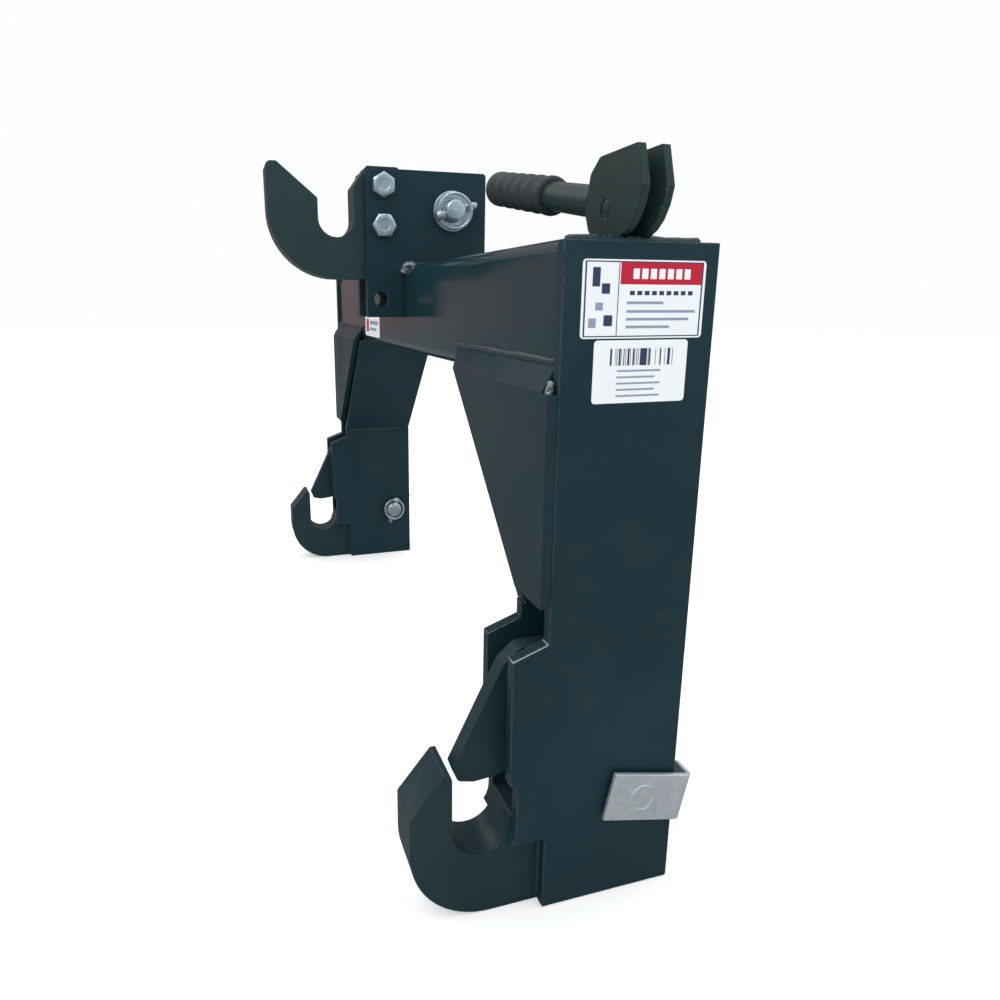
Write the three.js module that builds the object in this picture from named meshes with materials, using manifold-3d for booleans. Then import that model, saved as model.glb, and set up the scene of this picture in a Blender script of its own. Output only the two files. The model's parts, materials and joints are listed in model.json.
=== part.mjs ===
// Three-point quick hitch, Category 1: a welded frame that stays on a tractor's links.
// Two lower hooks with sprung latches and one upper hook pick up an implement's three pins.
// Millimetres, +Z up, +X across the tractor, +Y towards the tractor; the hooks point to -Y.
// The frame stands on the bottoms of its two legs, with the origin under its middle.

import * as THREE from 'three';
import { mergeVertices } from 'three/addons/utils/BufferGeometryUtils.js';
import Module from 'manifold-3d';

const wasm = await Module();
wasm.setup();

// ---------- driving dimensions ----------

// Y is first measured from the front edges of the leg side plates; originShiftY then centres it.
const hookSpacing = 683;          // between the middles of the two lower hooks
const seatRise = 383;             // from the lower pins' centres up to the upper pin's centre
const legDepth = 92;
const plate = 8;                  // side plates, mast plates and gusset plates
const hookThickness = 31.4;       // lower hook, between its side plates
const gap = 0.3;                  // between pieces that are welded or bolted together
const runClear = 0.6;             // round anything that turns or slides

// crossbar
const barSize = 80;               // square tube, outside
const barWall = 6;
const barCorner = 10;
const barFront = 3;               // front face, behind the side plates' front edges
const seatOverBar = 40;           // upper pin's centre above the crossbar's top
const barOverLeg = 2;             // the bar stands this much proud of the outer side plates

// lower hook and jaw
const lowerPinR = 18.25;          // the implement's 36.5 mm bushing
const throatClear = 0.25;
const throatY = -36.25;
const throatZ = 61;
const hookNose = -81;
const hookCurve = 51;
const hookBack = 28;
const hookBackTop = 66;
const hookTipZ = 102;
const hookBevelZ = 76;
const jawDepth = 22;
const jawTop = 181;
const jawSlope = 8;
const jawLow = 93;
const jawFoot = 50;
const footEdge = 2;

// latch
const latchThickness = 12;
const latchPivotY = 2;
const latchPivotZ = 158;
const latchPinR = 7;
const linkPinR = 4;

// lever and pull rod
const rodY = 44.2;
const rodR = 4;
const leverPivotRise = 15.5;      // lever pivot above the crossbar it bears on
const camRest = 15.1;             // cam radius that faces the bar with the latch shut
const camGain = 0.24;             // cam growth, mm per degree of lever
const leverTravel = 100;          // degrees
const leverTilt = 10.1;           // handle above level at rest, degrees
const handleRise = 2.3;           // handle's axis above the pivot
const earThickness = 4.5;
const earGap = 9.4;
const leverPinR = 5;
const handleR = 9;
const handleLength = 184;
const gripStart = 86;
const gripR = 12.3;
const gripRibs = 5;

// rod spring
const springR = 8.5;
const wireR = 1.5;
const springTurns = 8;
const springLength = 60;
const collarR = 11.5;
const collarThickness = 5;

// gusset
const gussetFoot = 191;           // where the gusset plate leaves the inner side plate
const gussetReach = 128;          // how far it runs in along the crossbar
const facePlate = 6;
const faceFootRise = 12;          // face plate's foot above the gusset plate's
const faceLap = 16;               // how far its bent top laps up the crossbar's front
const faceSlope = 1.037;          // sideways run of the face plate's edge for each mm of height

// hitch pins
const hitchPinR = 11;
const hitchPinY = 66;
const hitchPinZ = 69.5;
const hitchPinOut = 14.5;
const flagTilt = 12.3;            // degrees
const flagFront = 24;
const flagRear = 30.8;
const flagHalf = 16;
const flagPlate = 3;
const flagOff = 2.7;
const lipLength = 14;

// linch pins
const linchR = 3.4;
const linchHeadR = 4.7;
const linchHeadLength = 6;
const hitchHeadClear = 0.2;       // linch pin's head above the hitch pin it crosses
const topHeadClear = 2.7;         // and above the upper link pin
const ringWire = 1.4;
const linchHitchTilt = 17;        // degrees from upright
const linchTopTilt = -107;

// upper hook and mast
const topHookThickness = 30;
const mastFront = -32;
const mastOverSeat = 43;          // top of the mast plates above the seat
const mastUnderBar = 47.5;        // their lower ends below the crossbar's top
const topPinR = 15.9;             // the implement's 31.8 mm upper bushing
const topThroatClear = 0.35;
const topThroatY = -57.5;
const topHookTipRise = 46;        // above the seat
const topHookNose = -118;
const topHookCurve = 60;
const topHookDrop = 53;           // its underside, below the seat
const topHookBack = 1.5;
const boltR = 6.35;
const boltHoleR = 7.2;
const boltY = -16;
const boltRises = [28.5, -6];     // above the seat
const spareHoleY = -18.5;
const spareHoleRise = 16.5;       // above the mast plates' lower ends
const headFlats = 19;
const headThickness = 8;
const linkPinY = 49.5;
const linkPinRise = 8.5;          // above the seat
const linkPinRadius = 9.5;
const linkPinOut = 15.5;
const washerR = 18;
const washerThickness = 2.5;

// ---------- worked-out sizes ----------

const deg = Math.PI / 180;
const hookX = hookSpacing / 2;
const innerFace = hookX - hookThickness / 2 - gap;
const outerFace = hookX + hookThickness / 2 + gap;
const legIn = innerFace - plate;
const legOut = outerFace + plate;
const topSeatZ = throatZ + seatRise;
const barTop = topSeatZ - seatOverBar;
const barBottom = barTop - barSize;
const legHeight = barTop - barOverLeg;
const pivotZ = barTop + leverPivotRise;
const mastTop = topSeatZ + mastOverSeat;
const mastLow = barTop - mastUnderBar;
const topHookTip = topSeatZ + topHookTipRise;
const topHookLow = topSeatZ - topHookDrop;
const boltZs = boltRises.map((rise) => topSeatZ + rise);
const spareHoleZ = mastLow + spareHoleRise;
const linkPinZ = topSeatZ + linkPinRise;
const hitchRingR = hitchPinR + hitchHeadClear + linchHeadLength / 2;
const topRingR = linkPinRadius + topHeadClear + linchHeadLength / 2;
const faceFoot = gussetFoot + faceFootRise;
const faceBend = barBottom;
const faceTop = barBottom + faceLap;
const topHookHalf = topHookThickness / 2;
const mastIn = topHookHalf + gap;
const mastOut = mastIn + plate;
const armLevel = latchPivotZ - camGain * leverTravel / 2;
const flagIn = legOut + flagOff;
const frontMost = topHookNose;
const rearMost = hitchPinY + (flagRear + flagPlate) * Math.cos(flagTilt * deg)
  + flagHalf * Math.sin(flagTilt * deg);
const originShiftY = -(frontMost + rearMost) / 2;

// ---------- colours ----------

const finishes = {
  coat: { color: '#1b2427', roughness: 0.38, metalness: 0.0 },
  zinc: { color: '#a9b3b8', roughness: 0.42, metalness: 0.9 },
  steel: { color: '#6f7476', roughness: 0.5, metalness: 0.9 },
  rubber: { color: '#22272a', roughness: 0.75, metalness: 0.0 },
};

// ---------- shape helpers ----------

/** A closed outline from [u, v] or [u, v, radius] corners; each radius becomes an arc. */
function outline(corners) {
  const shape = new THREE.Shape();
  const n = corners.length;
  corners.forEach(([u, v, radius = 0], i) => {
    const here = new THREE.Vector2(u, v);
    const [pu, pv] = corners[(i + n - 1) % n];
    const [nu, nv] = corners[(i + 1) % n];
    const back = new THREE.Vector2(pu, pv).sub(here).normalize();
    const ahead = new THREE.Vector2(nu, nv).sub(here).normalize();
    const half = Math.acos(THREE.MathUtils.clamp(back.dot(ahead), -1, 1)) / 2;
    const run = radius / Math.tan(half);
    const start = here.clone().addScaledVector(back, run);
    const put = i === 0 ? 'moveTo' : 'lineTo';
    shape[put](start.x, start.y);
    if (radius > 0) {
      const centre = back.clone().add(ahead).normalize().multiplyScalar(radius / Math.sin(half)).add(here);
      const end = here.clone().addScaledVector(ahead, run);
      const clockwise = back.cross(ahead) > 0;
      const a0 = Math.atan2(start.y - centre.y, start.x - centre.x);
      const a1 = Math.atan2(end.y - centre.y, end.x - centre.x);
      shape.absarc(centre.x, centre.y, radius, a0, a1, clockwise);
    }
  });
  shape.closePath();
  return shape;
}

function roundHole(u, v, r) {
  const hole = new THREE.Path();
  hole.absarc(u, v, r, 0, Math.PI, false);
  hole.absarc(u, v, r, Math.PI, 2 * Math.PI, false);
  return hole;
}

function slotHole(u, v, r, half, angle) {
  const hole = new THREE.Path();
  const du = half * Math.cos(angle);
  const dv = half * Math.sin(angle);
  hole.absarc(u + du, v + dv, r, angle - Math.PI / 2, angle + Math.PI / 2, false);
  hole.absarc(u - du, v - dv, r, angle + Math.PI / 2, angle + 1.5 * Math.PI, false);
  return hole;
}

function extrude(shape, holes, depth, segments) {
  shape.holes = holes;
  return new THREE.ExtrudeGeometry(shape, { depth, bevelEnabled: false, curveSegments: segments });
}

/** A plate facing X: corners are [y, z]. */
function plateX(corners, x0, x1, holes = [], segments = 6) {
  const turn = new THREE.Matrix4().makeBasis(
    new THREE.Vector3(0, 1, 0), new THREE.Vector3(0, 0, 1), new THREE.Vector3(1, 0, 0));
  const low = Math.min(x0, x1);
  return extrude(outline(corners), holes, Math.abs(x1 - x0), segments).applyMatrix4(turn).translate(low, 0, 0);
}

/** A plate facing Y: corners are [x, z]. */
function plateY(corners, y0, y1, holes = [], segments = 6) {
  const turn = new THREE.Matrix4().makeBasis(
    new THREE.Vector3(1, 0, 0), new THREE.Vector3(0, 0, 1), new THREE.Vector3(0, -1, 0));
  return extrude(outline(corners), holes, y1 - y0, segments).applyMatrix4(turn).translate(0, y1, 0);
}

/** A turned piece round the X axis at y, z: stations are [x, radius] from the low x end. */
function turnedX(stations, y, z, segments = 24) {
  const profile = stations.map(([x, r]) => new THREE.Vector2(r, x));
  profile.unshift(new THREE.Vector2(0, stations[0][0]));
  profile.push(new THREE.Vector2(0, stations[stations.length - 1][0]));
  return new THREE.LatheGeometry(profile, segments).rotateZ(-Math.PI / 2).translate(0, y, z);
}

/** A round bar along Z. */
function roundZ(x, y, z0, z1, r, segments = 20) {
  return new THREE.CylinderGeometry(r, r, z1 - z0, segments).rotateX(Math.PI / 2).translate(x, y, (z0 + z1) / 2);
}

/** A round bar along Y. */
function roundY(x, z, y0, y1, r, segments = 24) {
  return new THREE.CylinderGeometry(r, r, y1 - y0, segments).translate(x, (y0 + y1) / 2, z);
}

function block(x0, x1, y0, y1, z0, z1) {
  return new THREE.BoxGeometry(x1 - x0, y1 - y0, z1 - z0).translate((x0 + x1) / 2, (y0 + y1) / 2, (z0 + z1) / 2);
}

function solid(geometry) {
  const bare = geometry.index ? geometry.toNonIndexed() : geometry.clone();
  bare.deleteAttribute('normal');
  bare.deleteAttribute('uv');
  const merged = mergeVertices(bare, 1e-4);
  return new wasm.Manifold(new wasm.Mesh({
    numProp: 3,
    vertProperties: new Float32Array(merged.attributes.position.array),
    triVerts: new Uint32Array(merged.index.array),
  }));
}

function surface(manifold) {
  const mesh = manifold.getMesh();
  const geometry = new THREE.BufferGeometry();
  geometry.setAttribute('position', new THREE.BufferAttribute(mesh.vertProperties, 3));
  geometry.setIndex(new THREE.BufferAttribute(mesh.triVerts, 1));
  geometry.computeVertexNormals();
  return geometry;
}

function cut(body, ...tools) {
  return surface(tools.reduce((left, tool) => left.subtract(solid(tool)), solid(body)));
}

function join(...bodies) {
  return surface(bodies.slice(1).reduce((left, body) => left.add(solid(body)), solid(bodies[0])));
}

function common(a, b) {
  return surface(solid(a).intersect(solid(b)));
}

const frame = new THREE.Group();
frame.position.y = originShiftY;

function add(name, geometry, finish, parent = frame) {
  const mesh = new THREE.Mesh(geometry, new THREE.MeshStandardMaterial(finishes[finish]));
  mesh.name = name;
  parent.add(mesh);
  return mesh;
}

// ---------- crossbar, mast and upper hook ----------

function crossbar() {
  const y0 = barFront;
  const y1 = barFront + barSize;
  const inner = barCorner - barWall;
  const hollow = outline([
    [y0 + barWall, barBottom + barWall, inner], [y1 - barWall, barBottom + barWall, inner],
    [y1 - barWall, barTop - barWall, inner], [y0 + barWall, barTop - barWall, inner]]);
  const tube = plateX([
    [y0, barBottom, barCorner], [y1, barBottom, barCorner],
    [y1, barTop, barCorner], [y0, barTop, barCorner]], -outerFace + gap, outerFace - gap, [hollow]);
  const bores = [-1, 1].map((side) =>
    roundZ(side * hookX, rodY, barBottom - 1, barTop + 1, rodR + runClear));
  return cut(tube, ...bores);
}

function mastPlate(side) {
  const holes = [...boltZs.map((z) => roundHole(boltY, z, boltHoleR)),
    roundHole(spareHoleY, spareHoleZ, boltHoleR), roundHole(linkPinY, linkPinZ, linkPinRadius + runClear)];
  return plateX([
    [mastFront, mastLow], [barFront - gap, mastLow], [barFront - gap, barTop + gap],
    [barFront + barSize, barTop + gap], [barFront + barSize, mastTop, 3], [mastFront, mastTop, 2]],
  side * mastIn, side * mastOut, holes);
}

function topHook() {
  const r = topPinR + topThroatClear;
  const left = topThroatY - r;
  const right = topThroatY + r;
  const mouth = topSeatZ + 28;
  const holes = boltZs.map((z) => roundHole(boltY, z, boltHoleR));
  return plateX([
    [topHookNose, topHookTip, 5], [topHookNose, topHookLow, topHookCurve], [topHookBack, topHookLow],
    [topHookBack, topHookTip, 3], [right + 13, topHookTip], [right, mouth], [right, topSeatZ - r, r - 0.01],
    [left, topSeatZ - r, r - 0.01], [left, topSeatZ + 17], [topHookNose + 9.5, topHookTip]],
  -topHookHalf, topHookHalf, holes, 8);
}

function hexHead(x0, x1, y, z, turn) {
  const r = headFlats / 2 / Math.cos(Math.PI / 6);
  return new THREE.CylinderGeometry(r, r, x1 - x0, 6).rotateY(turn).rotateZ(-Math.PI / 2)
    .translate((x0 + x1) / 2, y, z);
}

function mastBolt(z, turn) {
  const face = mastOut + gap;
  const shank = turnedX([[-face - 13.5, boltR - 1], [-face - 12.5, boltR], [face + 1, boltR]], boltY, z);
  return join(shank, hexHead(face, face + headThickness, boltY, z, turn));
}

function mastNut(z, turn) {
  const face = mastOut + gap;
  const hole = turnedX([[-face - 30, boltR + gap], [-face + 30, boltR + gap]], boltY, z);
  return cut(hexHead(-face - 11, -face, boltY, z, turn), hole);
}

// ---------- linch pins ----------

/** Places a linch pin drawn at the origin: shank along -Z, ring round X, into the leg's frame. */
function placeLinch(geometry, x, y, z, tilt) {
  return geometry.rotateX(-tilt * deg).translate(x, y, z);
}

function linchShank(x, y, z, tilt, ringSide, ringR) {
  const shank = roundZ(0, 0, -ringR - 8, ringR, linchR);
  const head = roundZ(0, 0, ringR - linchHeadLength / 2, ringR + linchHeadLength / 2, linchHeadR);
  const hole = roundY(ringSide * 0.6, ringR, -20, 20, ringWire + 1.1);
  return placeLinch(cut(join(shank, head), hole), x, y, z, tilt);
}

function linchRing(x, y, z, tilt, ringSide, ringR) {
  const lean = Math.asin((linchR + ringWire + 0.6) / (2 * ringR));
  const ring = new THREE.TorusGeometry(ringR, ringWire, 8, 32).rotateY(Math.PI / 2)
    .translate(0, 0, -ringR).rotateY(-ringSide * lean).translate(ringSide * 0.6, 0, ringR);
  return placeLinch(ring, x, y, z, tilt);
}

function linchBore(x, y, z, tilt) {
  return placeLinch(roundZ(0, 0, -40, 40, linchR + 0.4), x, y, z, tilt);
}

// ---------- upper link pin ----------

function topLink() {
  const face = mastOut + washerThickness + 2 * gap;
  const linchX = face + linchHeadR + 0.6;
  const end = mastOut + linkPinOut;
  const shaft = turnedX([[-mastOut - 6, 15], [-mastOut - gap, 15], [-mastOut - gap, linkPinRadius],
    [end - 2, linkPinRadius], [end, linkPinRadius - 2]], linkPinY, linkPinZ);
  add('top_link_pin', cut(shaft, linchBore(linchX, linkPinY, linkPinZ, linchTopTilt)), 'zinc');
  const washer = turnedX([[mastOut + gap, washerR], [face - gap, washerR]], linkPinY, linkPinZ, 32);
  const eye = turnedX([[mastOut - 9, linkPinRadius + 0.5], [face + 9, linkPinRadius + 0.5]], linkPinY, linkPinZ);
  add('top_link_washer', cut(washer, eye), 'zinc');
  add('top_link_linch_pin', linchShank(linchX, linkPinY, linkPinZ, linchTopTilt, 1, topRingR), 'zinc');
  add('top_link_linch_ring', linchRing(linchX, linkPinY, linkPinZ, linchTopTilt, 1, topRingR), 'zinc');
}

// ---------- legs ----------

/** Side plate outline, [y, z], with the jaw step at the front and the throat's relief. */
function sideCorners(top) {
  const relief = lowerPinR + throatClear + 0.75;
  const wall = throatY + relief;
  const fall = Math.asin((throatZ - jawFoot) / relief);
  const arc = [0.25, 0.5, 0.75, 1].map((t) =>
    [throatY + relief * Math.cos(fall * t), throatZ - relief * Math.sin(fall * t)]);
  return [[legDepth, 0], [legDepth, top], [0, top], [0, jawTop], [-jawDepth, jawTop - jawSlope],
    [-jawDepth, jawLow], [wall, jawLow - 6], [wall, throatZ], ...arc, [footEdge, jawFoot], [footEdge, 0]];
}

function sidePlate(side, near, far, top) {
  return plateX(sideCorners(top), side * near, side * far, [roundHole(hitchPinY, hitchPinZ, hitchPinR + runClear)]);
}

function lowerHook(side) {
  const r = lowerPinR + throatClear;
  const left = throatY - r;
  const right = throatY + r;
  return plateX([
    [hookBack, 0], [hookNose, 0, hookCurve], [hookNose, hookBevelZ], [left - 5, hookTipZ, 2],
    [left - 1.5, hookTipZ, 1], [left, hookTipZ - 4], [left, throatZ - r, r - 0.01], [right, throatZ - r, r - 0.01],
    [right, hookBackTop, 2], [hookBack, hookBackTop]],
  side * (innerFace + gap), side * (outerFace - gap), [], 8);
}

function facePlateSolid(side) {
  const sheet = plateX([
    [-facePlate - gap, faceFoot], [-gap, faceFoot], [-gap, faceBend - 0.5], [barFront - gap, faceBend + 5],
    [barFront - gap, faceTop], [-facePlate - gap, faceBend]], 0, side * (legOut + 1));
  const footX = legIn + 10.5;
  const bendX = footX - faceSlope * (faceBend - faceFoot);
  const topX = footX - faceSlope * (faceTop - faceFoot);
  const taper = plateY([
    [side * legOut, faceFoot], [side * legOut, faceBend - 0.5], [side * (outerFace - gap), faceBend],
    [side * (outerFace - gap), faceTop + 1], [side * topX, faceTop + 1], [side * bendX, faceBend],
    [side * footX, faceFoot]], -40, 40);
  return common(sheet, taper);
}

function gussetPlate(side) {
  const rise = barBottom - gap - gussetFoot;
  const thick = plate * Math.hypot(gussetReach, rise) / rise;
  return plateY([
    [side * legIn, gussetFoot + gap], [side * (legIn + thick), gussetFoot + gap],
    [side * (legIn - gussetReach + thick), barBottom - gap], [side * (legIn - gussetReach), barBottom - gap]],
  gap, legDepth);
}

// ---------- latch ----------

function latchBody(side) {
  const arm = rodY - latchPivotY;
  const reach = Math.hypot(arm, armLevel - latchPivotZ);
  const angle = Math.atan2(armLevel - latchPivotZ, arm);
  const slotMiddle = (reach + arm) / 2;
  const eyeU = latchPivotY + slotMiddle * Math.cos(angle);
  const eyeV = latchPivotZ + slotMiddle * Math.sin(angle);
  const holes = [roundHole(latchPivotY, latchPivotZ, latchPinR + gap),
    slotHole(eyeU, eyeV, linkPinR + 0.4, (reach - arm) / 2 + 0.4, angle)];
  return plateX([
    [-51.3, 98, 2], [-48.4, 89.6, 4], [-38, 87.2, 6], [-24, 88.5, 6], [-9, 94, 8], [8, 128, 20],
    [rodY - 2, armLevel - 10.5, 8], [rodY + 9.5, armLevel - 9, 7], [rodY + 10, armLevel + 7, 7],
    [rodY - 12, armLevel + 14, 10], [latchPivotY + 9, latchPivotZ + 14, 9], [latchPivotY - 12, latchPivotZ + 14, 9],
    [-20.5, 162, 6]],
  side * hookX - latchThickness / 2, side * hookX + latchThickness / 2, holes, 4);
}

function pullRod(side) {
  const x = side * hookX;
  const slot = latchThickness / 2 + runClear;
  const fork = block(x - slot - 4.5, x + slot + 4.5, rodY - 7, rodY + 7, armLevel - 8, armLevel + 27);
  const mouth = block(x - slot, x + slot, rodY - 20, rodY + 20, armLevel - 20, armLevel + 17);
  const shaft = roundZ(x, rodY, armLevel + 20, pivotZ - 4, rodR);
  const eye = roundY(x, pivotZ, rodY - earGap / 2 + runClear, rodY + earGap / 2 - runClear, leverPinR + 5.5);
  const leverHole = roundY(x, pivotZ, rodY - 20, rodY + 20, leverPinR + gap);
  const linkHole = turnedX([[x - 40, linkPinR + 0.2], [x + 40, linkPinR + 0.2]], rodY, armLevel, 20);
  const whole = join(fork, shaft, eye);
  return surface(solid(whole).subtract(solid(mouth)).subtract(solid(leverHole)).subtract(solid(linkHole)));
}

function rodSpring(side) {
  const top = barBottom - gap - wireR;
  const low = top - springLength;
  const points = [];
  const steps = springTurns * 12;
  for (let i = 0; i <= steps; i += 1) {
    const t = i / steps;
    const a = 2 * Math.PI * springTurns * t;
    const rise = THREE.MathUtils.smoothstep(t, 0, 1) * 0.25 + t * 0.75;
    points.push(new THREE.Vector3(
      side * hookX + springR * Math.cos(a), rodY + springR * Math.sin(a), low + springLength * rise));
  }
  const section = new THREE.Shape();
  section.absarc(0, 0, wireR, 0, 2 * Math.PI, false);
  return new THREE.ExtrudeGeometry(section, {
    steps, bevelEnabled: false, curveSegments: 3, extrudePath: new THREE.CatmullRomCurve3(points) });
}

function springCollar(side) {
  const top = barBottom - 2 * gap - 2 * wireR - springLength;
  const ring = roundZ(side * hookX, rodY, top - collarThickness, top, collarR, 28);
  return cut(ring, roundZ(side * hookX, rodY, top - 20, top + 20, rodR + 0.15));
}

// ---------- lever ----------

/** The ear's rim: a cam whose support grows steadily with the lever's angle, then a flat. */
function earCorners(side) {
  const growth = camGain / deg;
  const rim = [];
  for (let psi = -90; psi <= -10; psi += 16) {
    const h = camRest + camGain * (psi + 90);
    const c = Math.cos(psi * deg);
    const s = Math.sin(psi * deg);
    rim.push([h * c - growth * s, h * s + growth * c]);
  }
  const rest = [[29.7, 28, 1], [-8.3, 27.5, 5], [-18.4, 20, 6], [-22.8, 0, 8], [-18.5, -9.5, 4], [-12, -camRest, 3]];
  return [...rim, ...rest].map(([u, v, r]) => [side * (hookX + u), pivotZ + v, r]);
}

function leverEar(side, y0) {
  return plateY(earCorners(side), y0, y0 + earThickness,
    [roundHole(side * hookX, pivotZ, leverPinR + gap)], 4);
}

/** Swings geometry drawn along -X from the lever pivot up to the handle's tilt. */
function alongHandle(geometry, side) {
  const turned = geometry.translate(0, 0, side * handleRise).rotateY(leverTilt * deg);
  return (side > 0 ? turned : turned.rotateZ(Math.PI)).translate(side * hookX, rodY, pivotZ);
}

function handleBar(side) {
  const bar = turnedX([[-handleLength + 3, handleR - 1.5], [-handleLength + 4, handleR], [-24, handleR],
    [-22.5, handleR - 1.5]], 0, 0);
  const tongue = block(-34, -13.5, -earGap / 2 + gap, earGap / 2 - gap, -handleR + 1, handleR - 1);
  return alongHandle(join(bar, tongue), side);
}

function handleGrip(side) {
  const length = handleLength - gripStart;
  const pitch = (length - 10) / gripRibs;
  const stations = [[-handleLength, gripR - 3], [-handleLength + 2, gripR]];
  for (let i = 0; i < gripRibs; i += 1) {
    const x = -handleLength + 9 + i * pitch;
    stations.push([x, gripR], [x + 2, gripR - 1.8], [x + 4.5, gripR - 1.8], [x + 6.5, gripR]);
  }
  stations.push([-gripStart - 2, gripR], [-gripStart, gripR - 2]);
  const bore = turnedX([[-handleLength + 2.6, handleR + gap], [-gripStart + 5, handleR + gap]], 0, 0);
  return alongHandle(cut(turnedX(stations, 0, 0, 28), bore), side);
}

// ---------- hitch pin with its flag ----------

function hitchPin(side, linchX) {
  const stations = [[side * (legIn - hitchPinOut), hitchPinR - 2], [side * (legIn - hitchPinOut + 2), hitchPinR],
    [side * (flagIn - gap), hitchPinR]];
  if (side < 0) stations.reverse();
  return cut(turnedX(stations, hitchPinY, hitchPinZ, 32), linchBore(linchX, hitchPinY, hitchPinZ, linchHitchTilt));
}

/** The flag is one bent sheet: [rearward, outward] corners, extruded along its height. */
function hitchFlag(side) {
  const rear = flagRear + flagPlate;
  const half = flagPlate / 2;
  const turn = new THREE.Matrix4().makeBasis(
    new THREE.Vector3(0, 1, 0), new THREE.Vector3(1, 0, 0), new THREE.Vector3(0, 0, -1));
  const corners = [[-flagFront, -half], [-flagFront, half], [rear, half, 5], [rear, -half - lipLength],
    [flagRear, -half - lipLength], [flagRear, -half, 2]];
  return extrude(outline(corners.map(([u, v, r]) => [u, side * v, r])), [], 2 * flagHalf, 6)
    .applyMatrix4(turn).translate(0, 0, flagHalf).rotateX(-flagTilt * deg)
    .translate(side * (flagIn + half), hitchPinY, hitchPinZ);
}

// ---------- assembly ----------

add('crossbar', crossbar(), 'coat');
add('mast_plate_right', mastPlate(1), 'coat');
add('mast_plate_left', mastPlate(-1), 'coat');
add('top_hook', topHook(), 'coat');
['upper', 'lower'].forEach((place, i) => {
  add(`mast_bolt_${place}`, mastBolt(boltZs[i], i * Math.PI / 6), 'zinc');
  add(`mast_nut_${place}`, mastNut(boltZs[i], 0.2 + i), 'zinc');
});
topLink();

for (const [label, side] of [['right', 1], ['left', -1]]) {
  const linchX = side * (legIn - linchR - 2.6);
  const pinX = [side * (innerFace + gap), side * (outerFace - gap)].sort((a, b) => a - b);
  const linkX = [side * hookX - latchThickness / 2 - 5, side * hookX + latchThickness / 2 + 5];
  add(`outer_side_plate_${label}`, sidePlate(side, outerFace, legOut, legHeight), 'coat');
  add(`inner_side_plate_${label}`, sidePlate(side, legIn, innerFace, gussetFoot), 'coat');
  add(`gusset_face_${label}`, facePlateSolid(side), 'coat');
  add(`gusset_plate_${label}`, gussetPlate(side), 'coat');
  add(`lower_hook_${label}`, lowerHook(side), 'coat');
  add(`latch_pivot_pin_${label}`, turnedX([[pinX[0], latchPinR], [pinX[1], latchPinR]],
    latchPivotY, latchPivotZ), 'steel');
  add(`latch_${label}`, latchBody(side), 'coat');
  add(`pull_rod_${label}`, pullRod(side), 'steel');
  add(`rod_link_pin_${label}`, turnedX([[linkX[0], linkPinR], [linkX[1], linkPinR]], rodY, armLevel), 'steel');
  add(`spring_collar_${label}`, springCollar(side), 'steel');
  add(`rod_spring_${label}`, rodSpring(side), 'steel');
  add(`lever_ear_front_${label}`, leverEar(side, rodY - earGap / 2 - earThickness), 'coat');
  add(`lever_ear_rear_${label}`, leverEar(side, rodY + earGap / 2), 'coat');
  add(`lever_pivot_pin_${label}`, roundY(side * hookX, pivotZ, rodY - earGap / 2 - earThickness + gap,
    rodY + earGap / 2 + earThickness - gap, leverPinR), 'coat');
  add(`lever_bar_${label}`, handleBar(side), 'coat');
  add(`lever_grip_${label}`, handleGrip(side), 'rubber');
  add(`hitch_pin_${label}`, hitchPin(side, linchX), 'zinc');
  add(`hitch_pin_flag_${label}`, hitchFlag(side), 'zinc');
  add(`hitch_linch_pin_${label}`,
    linchShank(linchX, hitchPinY, hitchPinZ, linchHitchTilt, -side, hitchRingR), 'zinc');
  add(`hitch_linch_ring_${label}`,
    linchRing(linchX, hitchPinY, hitchPinZ, linchHitchTilt, -side, hitchRingR), 'zinc');
}

export default frame;
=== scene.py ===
"""A Category 1 three-point quick hitch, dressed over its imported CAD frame.

Metres, +Z up, +X across the tractor, +Y towards it; the hooks point to -Y and the legs stand at Z 0.
Each sub-assembly is a class that shapes its own pieces and gives them their finishes.
"""

import json
import logging
import math
from dataclasses import dataclass
from enum import Enum
from typing import Callable, Iterable, Optional, Sequence

import bmesh
import bpy
import numpy as np
from bpy.types import Material, Node, NodeSocket, NodeTree, Object
from mathutils import Euler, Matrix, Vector

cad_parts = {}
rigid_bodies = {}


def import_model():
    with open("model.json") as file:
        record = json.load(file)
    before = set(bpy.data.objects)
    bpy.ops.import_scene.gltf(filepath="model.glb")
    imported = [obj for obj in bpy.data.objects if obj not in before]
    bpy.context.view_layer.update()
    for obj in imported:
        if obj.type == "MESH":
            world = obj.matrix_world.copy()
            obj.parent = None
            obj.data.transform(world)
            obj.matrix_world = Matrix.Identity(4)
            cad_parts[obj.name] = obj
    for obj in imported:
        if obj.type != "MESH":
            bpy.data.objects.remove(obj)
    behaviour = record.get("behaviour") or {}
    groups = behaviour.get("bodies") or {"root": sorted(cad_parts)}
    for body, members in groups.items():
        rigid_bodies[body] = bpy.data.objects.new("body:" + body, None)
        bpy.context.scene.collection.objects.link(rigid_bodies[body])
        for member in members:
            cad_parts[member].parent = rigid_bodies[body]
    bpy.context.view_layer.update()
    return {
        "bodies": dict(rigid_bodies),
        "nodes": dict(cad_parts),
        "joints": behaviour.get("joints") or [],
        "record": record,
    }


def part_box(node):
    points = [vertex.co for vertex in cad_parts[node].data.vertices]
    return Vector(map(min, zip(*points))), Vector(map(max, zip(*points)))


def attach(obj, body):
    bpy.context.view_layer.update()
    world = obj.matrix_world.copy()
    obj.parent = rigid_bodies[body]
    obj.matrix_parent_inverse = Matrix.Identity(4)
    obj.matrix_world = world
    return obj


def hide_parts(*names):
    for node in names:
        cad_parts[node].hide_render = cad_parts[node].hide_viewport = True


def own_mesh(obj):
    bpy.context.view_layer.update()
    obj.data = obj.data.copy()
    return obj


log = logging.getLogger("quick_hitch")

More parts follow.
